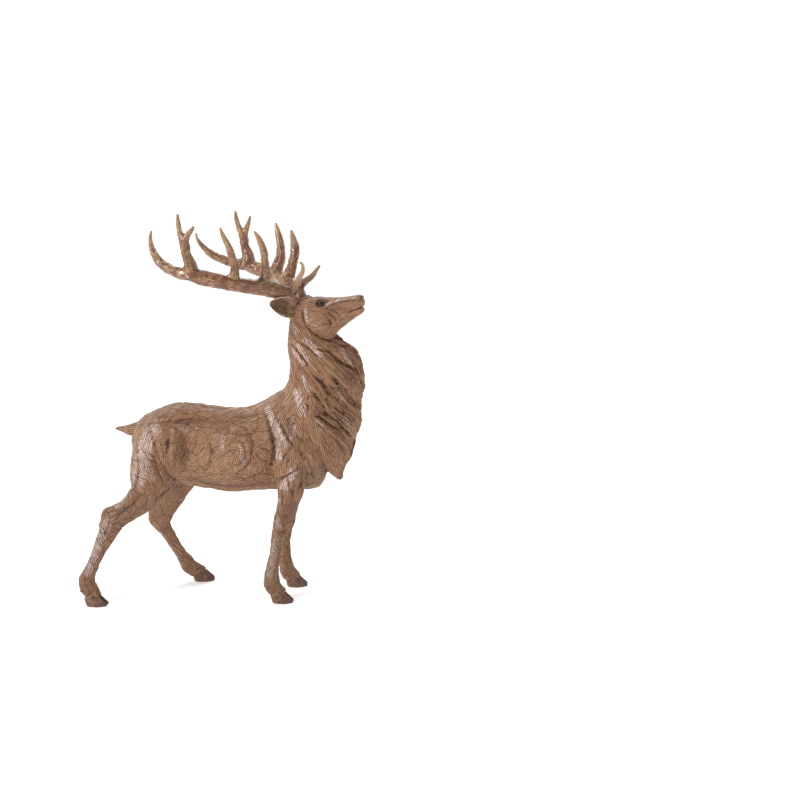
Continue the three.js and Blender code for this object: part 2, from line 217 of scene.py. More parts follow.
def write_mesh(name, points, faces):
    """A mesh object from arrays in drawing millimetres."""
    mesh = bpy.data.meshes.new(name)
    mesh.vertices.add(len(points))
    mesh.vertices.foreach_set("co", ((points + DRAWING_SHIFT) * MM).astype(np.float32).ravel())
    mesh.loops.add(faces.size)
    mesh.loops.foreach_set("vertex_index", faces.astype(np.int32).ravel())
    mesh.polygons.add(len(faces))
    mesh.polygons.foreach_set("loop_start", np.arange(0, faces.size, faces.shape[1], dtype=np.int32))
    mesh.update(calc_edges=True)
    mesh.validate()
    mesh.polygons.foreach_set("use_smooth", np.ones(len(faces), bool))
    return put_in(name, mesh)


def store(mesh, name, values):
    """Keeps a number or a vector for each point of a mesh under a name that materials read."""
    kind, field = ("FLOAT", "value") if values.ndim == 1 else ("FLOAT_VECTOR", "vector")
    mesh.attributes.new(name, kind, "POINT")
    mesh.attributes[name].data.foreach_set(field, values.astype(np.float32).ravel())


class Hide:
    """A fused surface under the chisel: points, quads, normals and hair directions."""

    def __init__(self, skins, voxel):
        """Overlapping closed skins become one even skin of quads, voxel millimetres wide."""
        rough = write_mesh("rough", *joined(skins))
        store(rough.data, "flow", np.vstack([s.flow for s in skins]))
        rough.data.remesh_voxel_size = voxel * COARSE * MM
        rough.data.remesh_voxel_adaptivity = 0
        rough.data.use_remesh_preserve_attributes = True
        bpy.context.view_layer.objects.active = rough
        bpy.ops.object.voxel_remesh()
        mesh = rough.data
        self.points = self.read(mesh.vertices, "co", 3) / MM - DRAWING_SHIFT
        self.faces = self.read(mesh.loops, "vertex_index", 1, np.int32).reshape(-1, 4)
        self.edges = np.sort(self.read(mesh.edges, "vertices", 2, np.int32), 1)
        self.flow = unit(self.read(mesh.attributes["flow"].data, "vector", 3))
        self.degree = np.bincount(self.edges.ravel(), minlength=len(self.points))[:, None]
        bpy.data.objects.remove(rough)
        bpy.data.meshes.remove(mesh)
        self.marks = {}

    @staticmethod
    def read(items, name, width, kind=np.float32):
        """A field of all the items as rows of width numbers."""
        values = np.empty(len(items) * width, kind)
        items.foreach_get(name, values)
        return values.astype(float if kind is np.float32 else kind).reshape(-1, width)

    def around(self, values):
        """The mean of each point's neighbours."""
        one, other = self.edges.T
        sums = [
            np.bincount(one, v[other], len(v)) + np.bincount(other, v[one], len(v))
            for v in values.reshape(len(values), -1).T
        ]
        return (np.stack(sums, -1) / self.degree).reshape(values.shape)

    def relax(self, rounds, where=1.0, keep_size=0.53):
        """Each round moves the points halfway to their neighbours' mean and then back by
        keep_size, so that dents smooth out and the body doesn't shrink. where is how much of
        that each point takes."""
        share = np.broadcast_to(where, len(self.points))[:, None]
        for step in (0.5, -keep_size) * rounds:
            self.points = self.points + step * share * (self.around(self.points) - self.points)

    def blend_flow(self, rounds):
        """The hair's direction, averaged with its neighbours' and laid along the surface."""
        normal = self.normals()
        for _ in range(rounds):
            self.flow = unit(0.5 * self.flow + 0.5 * self.around(self.flow))
            self.flow = unit(self.flow - normal * dot(self.flow, normal)[:, None])

    def normals(self):
        """The outward direction at each point: the sum of its quads' crossed diagonals."""
        a, b, c, d = (self.points[self.faces[:, k]] for k in range(4))
        face = np.cross(c - a, d - b)
        corners = self.faces.T
        total = [sum(np.bincount(k, part, len(self.points)) for k in corners) for part in face.T]
        return unit(np.stack(total, -1))

    def across(self):
        """The direction along the surface and square to the hair."""
        return unit(np.cross(self.normals(), self.flow))

    def raise_by(self, height):
        """Moves each point along its normal, in millimetres."""
        self.points = self.points + self.normals() * height[:, None]

    def soften(self, values, rounds):
        """Each round takes every value halfway to its neighbours' mean."""
        for _ in range(rounds):
            values = 0.5 * values + 0.5 * self.around(values)
        return values

    def hollows(self, rounds):
        """How far each point lies above the surface smoothed around it: below 0 in a groove."""
        return dot(self.points - self.soften(self.points, rounds), self.normals())

    def mark(self, name, values):
        """Keeps values from -1 to 1 for the materials."""
        self.marks[name] = np.clip(values, -1, 1)

    def finish(self, name, material):
        """The finished piece, with its marks."""
        piece = write_mesh(name, self.points, self.faces)
        for mark, values in self.marks.items():
            store(piece.data, mark, values)
        hand_in(piece, material)


def hand_in(piece, material):
    """The piece takes its material, rides on the statue and stands for its solid."""
    piece.data.materials.append(material)
    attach(piece, "root")
    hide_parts("stag")


def scatter(cells, seed):
    """Three even random numbers from 0 to 1 for each whole-numbered lattice cell."""
    mixed = cells[:, 0] * 73856093 ^ cells[:, 1] * 19349663 ^ cells[:, 2] * 83492791 ^ seed * 2654435
    numbers = []
    for step in (1, 2, 3):
        mixed = (mixed ^ (mixed >> 15)) * (0x2C1B3C6D + 2 * step) & 0x7FFFFFFF
        mixed = (mixed ^ (mixed >> 12)) * 0x297A2D39 & 0x7FFFFFFF
        mixed = mixed ^ (mixed >> 15)
        numbers.append((mixed & 0xFFFFF) / 0xFFFFF)
    return np.stack(numbers, -1)


def lattice(points, pitch, reach, seed):
    """The cubes of a lattice round each point, one after another: the cube, its three random
    numbers, and the way to the point from the seed that lies in the cube where they say."""
    home = np.floor(points / pitch).astype(np.int64)
    for step in product(range(-reach, reach + 1), repeat=3):
        cube = home + np.array(step)
        chance = scatter(cube, seed)
        yield cube, chance, points - (cube + chance) * pitch


def tufts(hide, width, length, seed):
    """Tufts of hair laid along the flow. Each cube of a lattice holds one seed at a random
    place, and a point belongs to the seed that is nearest when distance along the flow is
    divided by length and distance across it by width. Gives the point's share along and
    across its tuft, how near it is to the tuft's border, and the tuft's own random number."""
    points, flow, across = hide.points, hide.flow, hide.across()
    pitch = (width * width * length) ** (1 / 3)
    reach = int(np.ceil(0.6 * length / pitch))
    nearest, second = np.full((2, len(points)), np.inf)
    along, aside, luck = np.zeros((3, len(points)))
    for _, chance, gap in lattice(points, pitch, reach, seed):
        run, side = dot(gap, flow), dot(gap, across)
        depth = np.maximum(dot(gap, gap) - run**2 - side**2, 0)
        distance = (run / length) ** 2 + (side**2 + depth) / width**2
        closer = distance < nearest
        second = np.where(closer, nearest, np.minimum(second, distance))
        nearest = np.where(closer, distance, nearest)
        along = np.where(closer, run / length, along)
        aside = np.where(closer, side / width, aside)
        luck = np.where(closer, chance[:, 0], luck)
    return along, aside, np.sqrt(second) - np.sqrt(nearest), luck


def lay_strokes(hide, cell, spread, seed):
    """Splits the surface into patches, each nearest to one seed of a lattice of cubes cell wide,
    with distance along the hair counted short. Keeps for every point its place in its patch, in
    millimetres along and across the patch's own strokes, and the patch's random number. The
    strokes run as the hair does on average over the patch, turned by at most spread either way."""
    best = np.full(len(hide.points), np.inf)
    gap, chance = np.zeros((2, len(best), 3))
    owner = np.zeros(len(best), np.int64)
    for cube, number, away in lattice(hide.points, cell, 1, seed):
        distance = dot(away, away) - 0.6 * dot(away, hide.flow) ** 2
        closer = distance < best
        best = np.where(closer, distance, best)
        gap = np.where(closer[:, None], away, gap)
        chance = np.where(closer[:, None], number, chance)
        owner = np.where(closer, (cube + 512) @ np.array([1, 1024, 1024**2]), owner)
    _, patch_of = np.unique(owner, return_inverse=True)
    patch_of = patch_of.ravel()

    def mean(vectors):
        """Each patch's mean direction, given to all its points."""
        return unit(np.stack([np.bincount(patch_of, part) for part in vectors.T], -1))[patch_of]

    normal, flow = mean(hide.normals()), mean(hide.flow)
    angle = ((2 * chance[:, 1] - 1) * spread)[:, None]
    along = flow * np.cos(angle) + np.cross(normal, flow) * np.sin(angle)
    across = np.cross(normal, along)
    hide.marks["strokes"] = np.stack([dot(gap, along), dot(gap, across), chance[:, 0]], -1)


def wander(points, scale, seed):
    """A soft uneven field between about -1 and 1: a product and sum of waves whose length is
    about scale, each in its own direction."""
    chance = np.random.default_rng(seed)
    total = np.zeros(len(points))
    for _ in range(7):
        direction = unit(chance.normal(size=3)) * chance.uniform(0.6, 1.7)
        phase = chance.uniform(0, 2 * np.pi, 2)
        wave = np.sin(points @ direction * (2 * np.pi / scale) + phase[0])
        total += wave * np.cos(points[:, [1, 2, 0]] @ direction * (2 * np.pi / scale) + phase[1])
    return total / 2.6


def along_line(points, line):
    """Distance in the side view from each point to a drawn line of x and z, the share of the
    line's length at the nearest place, and which side of it the point lies on."""
    line = np.asarray(line, float)
    flat = points[:, [0, 2]]
    start, step = line[:-1], np.diff(line, axis=0)
    lengths = np.linalg.norm(step, axis=1)
    gap = flat[:, None] - start[None]
    share = np.clip((gap * step).sum(-1) / lengths**2, 0, 1)
    away = gap - share[..., None] * step
    distance = np.linalg.norm(away, axis=-1)
    best = distance.argmin(1)
    row = np.arange(len(flat))
    covered = np.cumsum(np.concatenate([[0], lengths[:-1]]))[best]
    run = (covered + share[row, best] * lengths[best]) / lengths.sum()
    turned = step[best, 0] * gap[row, best, 1] - step[best, 1] * gap[row, best, 0]
    return distance[row, best], run, np.sign(turned)


def side_form(hide, x, z, long, short, angle, height):
    """A bell on both sides of the body, drawn on the side view as a turned ellipse. Gives its
    height at each point."""
    cos, sin = np.cos(np.radians(angle)), np.sin(np.radians(angle))
    gap_x, gap_z = hide.points[:, 0] - x, hide.points[:, 2] - z
    away = ((gap_x * cos + gap_z * sin) / long) ** 2 + ((gap_z * cos - gap_x * sin) / short) ** 2
    facing = ramp(np.abs(hide.points[:, 1]), 2, 10) * ramp(np.abs(hide.normals()[:, 1]), 0.1, 0.6)
    rise = height * facing * np.exp(-away)
    hide.raise_by(rise)
    return rise


def stroke(hide, line, side, width, depth, step=0.0):
    """A chiselled line on one side of the body: a groove depth deep whose section is a bell
    width wide and which fades at both ends, and a step whose left bank, seen along the line,
    stands step higher than its right bank. Gives how far each point lies in the cut."""
    distance, run, bank = along_line(hide.points, line)
    facing = ramp(side * hide.points[:, 1], 0, 8) * ramp(side * hide.normals()[:, 1], 0.05, 0.4)
    fade = np.sin(np.pi * np.clip(run, 0.02, 0.98)) ** 0.6
    groove = -depth * np.exp(-((distance / width) ** 2))
    banks = 0.5 * step * bank * np.exp(-((distance / (3.2 * width)) ** 2))
    hide.raise_by(facing * fade * (groove + banks * np.minimum(1, distance / width)))
    return facing * fade * np.exp(-((distance / (0.6 * width)) ** 2)) * ramp(depth, 0, 1.2)


def bands(points, lines):
    """Where pale bands lie: each is drawn on the side view as a line of x and z with its half
    width, its edges ragged by a wandering field, and fades at both ends."""
    total = np.zeros(len(points))
    rag = wander(points, 9, 77)
    for line, width, strength in lines:
        distance, run, _ = along_line(points, line)
        inside = 1 - ramp(distance / width + 0.28 * rag, 0.75, 1.15)
        total = np.maximum(total, strength * inside * ramp(np.minimum(run, 1 - run), -0.02, 0.1))
    return total


def patch(points, spots):
    """Where soft round spots lie: the largest of bells around (x, y, z, reach)."""
    total = np.zeros(len(points))
    for x, y, z, reach, strength in spots:
        away = ((points - np.array([x, y, z])) ** 2).sum(1) / reach**2
        total = np.maximum(total, strength * np.exp(-away))
    return total

# The drawing: tables in millimetres.

# x, top, bottom and half width of the barrel.
BARREL = [
    (-133, 262, 228, 17), (-124, 278, 208, 29), (-107, 289, 190, 38), (-88, 297, 181, 42),
    (-66, 303, 180, 42), (-42, 303, 176, 41), (-16, 299, 172, 43), (12, 296, 168, 46),
    (42, 298, 170, 47), (70, 311, 171, 45), (98, 326, 172, 43), (122, 316, 171, 40),
    (140, 294, 172, 36), (151, 272, 180, 29), (159, 250, 200, 16),
]
# Centre x and z, reach along x and z, and height of each swelling of the barrel's sides.
SWELLINGS = [
    (-92, 244, 26, 34, 6), (-66, 272, 15, 13, 4), (-42, 238, 15, 34, -6),
    (14, 214, 44, 30, 4), (76, 226, 12, 52, -4), (112, 246, 20, 44, 6),
]
# z, nape x, throat x and half width of the neck.
NECK = [
    (430, 106, 158, 18), (410, 104, 168, 23), (398, 103, 183, 28), (384, 103, 199, 31),
    (360, 105, 208, 35), (330, 98, 209, 39), (302, 75, 206, 42), (278, 82, 205, 41),
    (254, 102, 198, 38), (230, 126, 190, 32), (208, 148, 183, 20), (185, 173, 180, 4),
]
# x, y, z and the two half thicknesses of each leg, where its heel stands, and the hoof's splay.
LEGS = {
    "right_hind": ((-209, -47), -4, [
        (-82, -12, 276, 14, 8), (-91, -19, 256, 30, 18), (-98, -26, 226, 35, 21),
        (-103, -30, 198, 33, 19), (-111, -33, 176, 27, 16), (-124, -36, 161, 21.5, 13),
        (-142, -39, 147, 17.5, 10), (-160, -42, 137, 19, 9.5), (-167, -43, 125, 17, 9),
        (-172, -43, 112, 14.5, 8.6), (-180, -44, 97, 11.6, 7.8), (-190, -46, 75, 9.6, 7),
        (-198, -47, 59, 9.7, 7.2), (-206, -47, 38, 13, 9), (-203, -47, 26, 13.2, 9.4),
    ]),
    "left_hind": ((-61, 52), 3, [
        (-80, 12, 276, 14, 8), (-84, 19, 254, 30, 18), (-82, 25, 220, 33, 21),
        (-72, 30, 186, 28, 18), (-80, 33, 158, 21, 13), (-93, 36, 134, 17.5, 10.5),
        (-107, 39, 111, 19.5, 9.5), (-106, 41, 99, 15.5, 9), (-97, 44, 82, 10.8, 7.8),
        (-88, 47, 62, 9.5, 7.2), (-80, 49, 47, 9.8, 7.4), (-72, 51, 33, 12.3, 9),
        (-65, 52, 22, 12.5, 9.4),
    ]),
    "right_fore": ((72, -35), -3, [
        (100, -13, 300, 12, 8), (106, -21, 262, 27, 17), (106, -27, 220, 30, 18),
        (105, -30, 186, 22, 16), (103, -32, 168, 18, 13), (97, -33, 148, 14.6, 10.8),
        (92, -34, 128, 15, 10.4), (87, -34, 114, 12, 8.8), (82, -35, 98, 9.6, 7.5),
        (79, -35, 75, 9, 7), (74, -35, 51, 10, 7.4), (73, -35, 35, 12.4, 9),
        (75, -35, 24, 13, 9.4),
    ]),
    "left_fore": ((89, 29), 3, [
        (100, 13, 300, 12, 8), (106, 20, 262, 27, 17), (106, 24, 220, 29, 18),
        (104, 26, 182, 20, 15), (101, 27, 161, 18.5, 12.5), (97, 28, 142, 16, 11),
        (93, 28, 124, 14.6, 10), (92, 28, 109, 13.4, 9), (90, 29, 94, 9.8, 7.6),
        (89, 29, 70, 8.8, 7), (89, 29, 48, 9.6, 7.4), (90, 29, 33, 11.8, 9),
        (93, 29, 22, 12.2, 9.4),
    ]),
}
HOOF_LENGTH, HOOF_WIDTH, HOOF_HEIGHT, TOE_CLEFT, CLAW_LENGTH = 35, 22, 18, 2, 9
# x, y, z and the two half thicknesses of the tail.
TAIL = [(-114, 0, 266, 14, 16), (-134, 0, 263, 9.5, 11), (-147, 0, 264, 6, 7), (-160, 0, 265, 1.5, 2)]
# Distance ahead of the poll, top, bottom and half width of the skull and muzzle.
SKULL = [
    (-14, -5, -24, 12), (-4, 2, -38, 19), (12, 4, -46, 21.5), (28, 6, -52, 21),
    (42, 6.5, -56, 18.5), (54, 7, -53, 15.5), (64, 8, -42, 13), (75, 9, -33, 11),
    (86, 11, -24, 10), (95, 12.5, -18, 10), (101, 10.5, -13, 7.5),
]
EAR_LENGTH, EAR_WIDTH, EAR_THICKNESS = 44, 31, 8
# Ahead, outward, upward, radius, and how much higher the right antler lies than the left.
BEAM = [
    (-2, 12, -8, 9, 0), (-6, 18, 5, 12, 0), (-17, 28, 13, 11.5, 0), (-34, 43, 20, 12.2, 0),
    (-50, 65, 23, 11, 0), (-67, 81, 27, 10.6, 0), (-84, 92, 31, 10.6, 0), (-107, 100, 35.5, 11, 0),
    (-124, 104, 40, 9.7, 0), (-140, 104, 41, 8.5, 0), (-160, 102, 47, 7.2, 1),
    (-176, 97, 55, 6.4, 2), (-190, 87.5, 68.5, 4.7, 3), (-197, 80, 82, 2.9, 4),
    (-198, 75, 93, 1.4, 4.5),
]
TINES = [
    [(-121, 103, 37, 12, 0), (-123, 105, 54, 8.6, 0), (-129, 106, 70, 6.4, 0), (-131, 106, 84, 6.8, 0),
     (-138, 105, 98, 4.1, 0), (-142, 103, 113, 3.2, 0), (-143, 102, 124, 1.5, 0)],
    [(-131, 106, 84, 6, 0), (-127, 106, 94, 4.5, 0), (-122, 104, 103, 3.2, -2),
     (-118, 102, 112, 1.5, -4.5)],
    [(-67, 80, 28, 9, 0), (-65, 84, 42, 7.4, 0), (-62, 89, 54, 6.3, 0), (-64, 94, 67, 5.4, 0),
     (-67, 98, 80, 4.9, 0), (-73, 103, 95, 3.6, 0), (-77, 105, 107, 1.5, 0)],
    [(-35, 43, 22, 9, 0), (-31, 52, 43, 6.3, 3), (-29, 58, 58, 5.4, 3), (-29, 63, 72, 5.5, 3),
     (-33, 68, 87, 4, 3), (-39, 73, 100, 1.5, 2)],
]
BROW_TINES = {
    1: [(-6, 18, 8, 6.5, 0), (4, 22, 22, 5.2, 0), (11, 27, 33, 4, 0), (19, 32, 46, 2.8, 0),
        (20, 37, 55, 1.8, 0), (16, 39, 59, 1.2, 0)],
    -1: [(-12, 18, 8, 6.5, 0), (-6, 22, 17, 5.6, 0), (1, 26, 25, 4.8, 0), (10, 31, 33, 3.9, 0),
         (15, 35, 41, 2.8, 0), (20, 38, 49, 1.4, 0)],
}

# The head's own directions: ahead along the nose, out to the stag's right, and up.
YAW, ROLL = np.radians(16), np.radians(4)
POLL = np.array([118.5, 0, 460.6])
AHEAD = np.array([np.cos(YAW), -np.sin(YAW), 0])
LEVEL = np.array([-np.sin(YAW), -np.cos(YAW), 0])
UPRIGHT = np.array([0, 0, 1.0])
OUT = LEVEL * np.cos(ROLL) + UPRIGHT * np.sin(ROLL)
UP = UPRIGHT * np.cos(ROLL) - LEVEL * np.sin(ROLL)
HEAD = np.stack([AHEAD, OUT, UP])


def in_head(places):
    """From ahead, outward and upward of the poll to the drawing."""
    return POLL + np.asarray(places, float) @ HEAD


def from_head(points):
    """From the drawing to ahead, outward and upward of the poll."""
    return (points - POLL) @ HEAD.T


# The barrel, the legs and the tail.


def barrel_skin():
    """Superellipses of power 0.86 from the barrel's rows, the half width swelled by the sum of
    the bells that the swellings draw on the side view."""
    t, turn = turns(120, 132)
    x, top, bottom, half = columns(BARREL, t)
    upward = bend(np.sin(turn), 0.86)
    z = (top + bottom) / 2 + upward * (top - bottom) / 2
    for cx, cz, reach_x, reach_z, height in SWELLINGS:
        half = half + height * np.exp(-(((x - cx) / reach_x) ** 2 + ((z - cz) / reach_z) ** 2) / 2)
    skin = loft(np.stack([x, bend(np.cos(turn), 0.86) * half, z], -1))
    skin.flow = -skin.flow
    return skin


def neck_place(t, turn, lift):
    """The neck's skin: turn 0 is the throat, drawn in to an edge; lift stands off the skin."""
    z, nape, throat, half = columns(NECK, t)
    width = half * (1 - 0.42 * np.maximum(0, np.cos(turn)) ** 2)
    lift = lift * (1 - 0.85 * ramp(t, 0.84, 0.97))
    x = (nape + throat) / 2 + np.cos(turn) * ((throat - nape) / 2 + lift)
    return np.stack([x, np.sin(turn) * (width + lift), z], -1)


def leg_skin(heel, rows):
    """A tube down the leg, which ends inside the hoof."""
    x, y = heel
    radii = (0.32 * HOOF_LENGTH, 0.42 * HOOF_WIDTH)
    hidden = (x + 0.42 * HOOF_LENGTH, y, 0.6 * HOOF_HEIGHT, *radii)
    return sweep([*rows, hidden], (0, 1, 0), 150, 64, shaping=leg_planes)


def leg_planes(line, turn):
    """How much of its radius a leg keeps at each turn: below the knee its section draws in
    between the front, back and side edges, as a rounded diamond of power 1.3 does."""
    power, twist = 1.3, 0.25
    reach = np.abs(np.cos(turn - twist)) ** power + np.abs(np.sin(turn - twist)) ** power
    diamond = 1.04 / reach ** (1 / power)
    share = (1 - ramp(line[:, 2:3], 120, 165)) * ramp(line[:, 2:3], 26, 44)
    return 1 + share * (diamond - 1)


def body_skins():
    """The barrel, the bare neck, the tail and the four legs."""
    t, turn = turns(60, 60)
    neck = loft(neck_place(t, turn, -1.0))
    skins = [barrel_skin(), neck, sweep(TAIL, (0, 1, 0), 24, 24)]
    return skins + [leg_skin(heel, rows) for heel, _, rows in LEGS.values()]


# Drawn lines on the sides, as x and z: groove width, depth, and the step between its banks.
FLANK_LINES = [
    ([(-118, 276), (-87, 284), (-57, 286), (-28, 287), (-2, 284)], 3.2, 2.0, 2.2),
    ([(24, 289), (46, 292), (65, 296)], 2.8, 1.4, 1.4),
    ([(-101, 278), (-94, 254), (-88, 230), (-76, 204), (-62, 186)], 3.6, 1.8, 2.6),
    ([(-70, 272), (-74, 256), (-77, 238)], 3.4, 1.8, 0.0),
    ([(-62, 276), (-67, 252), (-64, 233), (-66, 210)], 2.2, 1.2, 1.8),
    ([(-1, 271), (22, 281), (42, 275), (53, 253), (45, 223), (25, 208), (4, 212)], 3.0, 1.3, 1.8),
    ([(14, 250), (24, 262), (38, 256), (41, 236), (30, 222), (16, 226)], 2.6, 1.0, 1.0),
    ([(17, 205), (39, 199), (58, 206), (70, 218)], 3.0, 1.5, 1.2),
    ([(-18, 268), (-10, 246), (-14, 220), (-28, 202)], 3.0, 0.9, -0.8),
    ([(-50, 196), (-14, 186), (26, 184), (66, 190)], 4.0, 1.2, 1.2),
    ([(67, 303), (72, 286), (79, 264), (82, 240), (74, 214)], 2.4, 1.3, -2.4),
    ([(78, 304), (92, 284), (104, 262), (111, 252), (99, 236), (90, 212)], 2.4, 1.3, 2.2),
    ([(88, 292), (112, 250)], 2.8, 1.3, 1.2),
    ([(120, 312), (127, 290), (133, 264)], 3.0, 1.6, 1.4),
    ([(84, 196), (97, 204), (112, 213), (126, 219)], 2.6, 1.7, 1.8),
    ([(126, 219), (122, 200), (121, 184)], 2.6, 1.2, 1.0),
    ([(100, 208), (104, 188), (110, 172)], 2.8, 1.3, 0.8),
    ([(118, 246), (132, 228), (140, 204)], 3.2, 1.4, 1.4),
]
HIND_LINES = [
    ([(-76, 190), (-64, 188), (-83, 176), (-100, 160)], 3.0, 1.8, 1.4),
    ([(-96, 232), (-90, 206), (-80, 188)], 3.4, 1.6, 1.4),
    ([(-122, 246), (-119, 214), (-126, 188), (-146, 160)], 3.2, 1.6, -2.0),
    ([(-112, 180), (-128, 164), (-146, 148), (-160, 134)], 3.0, 1.7, 1.4),
    ([(-162, 146), (-168, 128), (-176, 108)], 2.4, 1.2, -1.0),
]
FORE_LINES = [
    ([(112, 190), (107, 170), (101, 150)], 2.8, 1.4, 1.0),
    ([(94, 186), (92, 168), (90, 150)], 2.6, 1.3, -0.8),
    ([(84, 146), (92, 138), (102, 140)], 2.4, 1.2, 0.8),
    ([(82, 120), (88, 114), (97, 116)], 2.4, 1.0, -0.8),
]
# Planes and hollows of the sides: centre x and z, the two reaches, the longer one's angle above
# the x axis in degrees, and the height.
SIDE_FORMS = [
    (-116, 226, 48, 12, 78, 4.0), (-97, 216, 36, 11, -74, -2.4), (-84, 262, 26, 10, -64, 2.4),
    (-76, 248, 30, 7, 88, -2.2), (-66, 246, 32, 5, 86, 2.6), (-52, 246, 34, 10, 84, -2.8),
    (18, 236, 50, 34, 0, 3.4), (-30, 283, 70, 4, 2, -1.8), (-40, 296, 70, 6, 0, 1.6),
    (80, 236, 50, 7, 82, -2.0), (92, 270, 36, 9, -62, 3.4), (92, 236, 26, 9, 70, 3.0),
    (110, 284, 30, 6, -62, -2.6), (126, 286, 26, 7, -76, 2.6), (100, 192, 20, 9, 70, 2.4),
    (112, 204, 16, 12, -30, 3.4), (138, 226, 24, 12, 70, 3.0), (126, 196, 20, 6, 60, -2.6),
    (40, 180, 60, 8, 0, 1.6), (-20, 192, 40, 8, -8, -2.0),
]
# How far the left legs' lines lie from the right legs' lines along x.
LEFT_HIND_SHIFT, LEFT_FORE_SHIFT = 26, 2

# Hair directions on the side view: centre x and z, reach, direction x and z, and weight.
HAIR_DIRECTIONS = [
    (-118, 236, 26, 0.9, -0.45, 3), (-124, 192, 24, 0.85, -0.5, 3), (-88, 214, 22, 0.55, -0.85, 3),
    (-72, 250, 18, 0.1, -1.0, 3), (-45, 240, 24, -0.08, -1.0, 3), (-16, 248, 24, -0.35, -1.0, 3),
    (-20, 212, 24, -0.7, -0.7, 2), (20, 182, 40, -1.0, 0.1, 2), (80, 260, 14, -0.3, -1.0, 2),
    (96, 262, 20, 0.4, -1.0, 4), (102, 228, 18, 0.3, -1.0, 4), (124, 262, 20, 0.2, -1.0, 3),
    (136, 218, 24, 0.6, -0.8, 3), (-80, 292, 30, -0.7, -0.7, 3), (10, 292, 40, -0.8, -0.6, 3),
    (110, 316, 22, 0.1, -1.0, 3),
]
# The hair whirls round this place on the ribs: x, z, reach and weight.
RIB_WHIRL = (37, 234, 32, 4)


def hair_directions(points):
    """The sum of the drawn directions, each weighted by a bell round its centre, and of the
    whirl, whose direction is square to the way from its middle."""
    pull = np.zeros_like(points)
    for x, z, reach, dx, dz, weight in HAIR_DIRECTIONS:
        near = weight * np.exp(-((points[:, 0] - x) ** 2 + (points[:, 2] - z) ** 2) / reach**2)
        pull += near[:, None] * unit(np.array([dx, 0, dz]))
    x, z, reach, weight = RIB_WHIRL
    gap_x, gap_z = points[:, 0] - x, points[:, 2] - z
    near = weight * np.exp(-(gap_x**2 + gap_z**2) / reach**2)
    return pull + near[:, None] * unit(np.stack([-gap_z, np.zeros(len(points)), gap_x], -1))


def carve_hair(hide, layers, share=1.0):
    """Lays overlapping tufts into the surface, layer after layer: each layer is a width, a
    length, a height, a groove's depth and a seed. A tuft is highest at its free end and along
    its middle, and falls to the groove at its border. Each point keeps its share of the change."""
    before = hide.points
    for width, length, height, groove, seed in layers:
        along, aside, border, luck = tufts(hide, width, length, seed)
        slope = np.clip(along + 0.5, 0, 1) - 0.5
        crown = np.clip(1 - (1.6 * aside) ** 2, 0, 1)
        cut = np.exp(-((border / 0.14) ** 2))
        hide.raise_by(height * (0.9 * slope + 0.7 * crown - 0.6 + 0.5 * luck) - groove * cut)
    hide.points = before + (hide.points - before) * np.broadcast_to(share, len(before))[:, None]


# Soft spots, as x, y, z, reach and strength: the far hock's bend, which is rounded off, the two
# heel bones that are raised, and the chest, which takes painted shade on both sides.
HOCK_BEND = (-84, 40, 106, 12, 1.6)
HEEL_BONES = [(-178, -42, 151, 7, 2.6), (-118, 40, 118, 7, 1.6)]
CHEST_PAINTED_SHADE = (138, 0, 200, 30, 0.9)


def make_body(material):
    """The trunk and legs: fused and smoothed, given the sides' forms, lines and spine, then
    carved with hair. The marks follow from the shape and from the drawn bands."""
    hide = Hide(body_skins(), voxel=1.76)
    hide.relax(14, ramp(hide.points[:, 2], 150, 200))
    hide.relax(36, np.clip(patch(hide.points, [HOCK_BEND]), 0, 1), keep_size=0.3)
    hide.relax(2)
    on_barrel = ramp(hide.points[:, 2], 120, 165)[:, None]
    hide.flow = unit(hide.flow + on_barrel * hair_directions(hide.points))
    hide.blend_flow(16)
    behind = ramp(-hide.normals()[:, 0], 0.1, 0.5) * (1 - on_barrel[:, 0])
    hide.flow = unit(hide.flow + 1.1 * behind[:, None] * hide.across())
    hide.blend_flow(4)
    forms = sum(side_form(hide, *form) for form in SIDE_FORMS)
    shifts = (0, LEFT_HIND_SHIFT, LEFT_FORE_SHIFT)
    cuts = np.zeros(len(hide.points))
    for side in (-1, 1):
        for lines, shift in zip((FLANK_LINES, HIND_LINES, FORE_LINES), shifts):
            for line, *sizes in lines:
                moved = np.array(line) + (shift * (side > 0), 0)
                cuts = np.maximum(cuts, stroke(hide, moved, side, *sizes))
    spine = np.exp(-((hide.points[:, 1] / 5) ** 2)) * ramp(hide.normals()[:, 2], 0.5, 0.9)
    on_back = ramp(hide.points[:, 0], -110, -80) * (1 - ramp(hide.points[:, 0], 60, 90))
    hide.raise_by(1.4 * spine * on_back + 0.45 * wander(hide.points, 24, 5))
    hide.raise_by(patch(hide.points, HEEL_BONES))
    hide.relax(1)
    carve_hair(hide, [(11, 26, 0.5, 0.25, 11), (5.0, 18, 0.34, 0.42, 12)])
    # These marks give painted shade in creases, broad hollows and chiselled grooves, and painted light on
    # broad swellings.
    hide.mark("hollow", hide.hollows(10) / 0.9)
    hide.mark("form", forms / 3.6 + hide.soften(hide.hollows(80), 4) / 5.0)
    hide.mark("cut", cuts)
    lay_strokes(hide, cell=17, spread=0.5, seed=15)
    # Pale dry-brushed bands, and painted highlight where the hide faces up and back.
    hide.mark("rub_and_highlight", body_rub_and_highlight(hide))
    # Darker from the belly down over the legs and on the upward-facing rump; painted shade on the chest
    # under the neck.
    rump = 0.6 * ramp(hide.normals()[:, 2], 0.3, 0.9) * ramp(-hide.points[:, 0], 20, 80)
    legs = 0.9 * ramp(-hide.points[:, 2], -215, -150)
    chest = patch(hide.points * [1, 0, 1], [CHEST_PAINTED_SHADE])
    hide.mark("dark_tone_and_shade", np.max([legs, rump, chest], axis=0))
    hide.finish("stag_body", material)


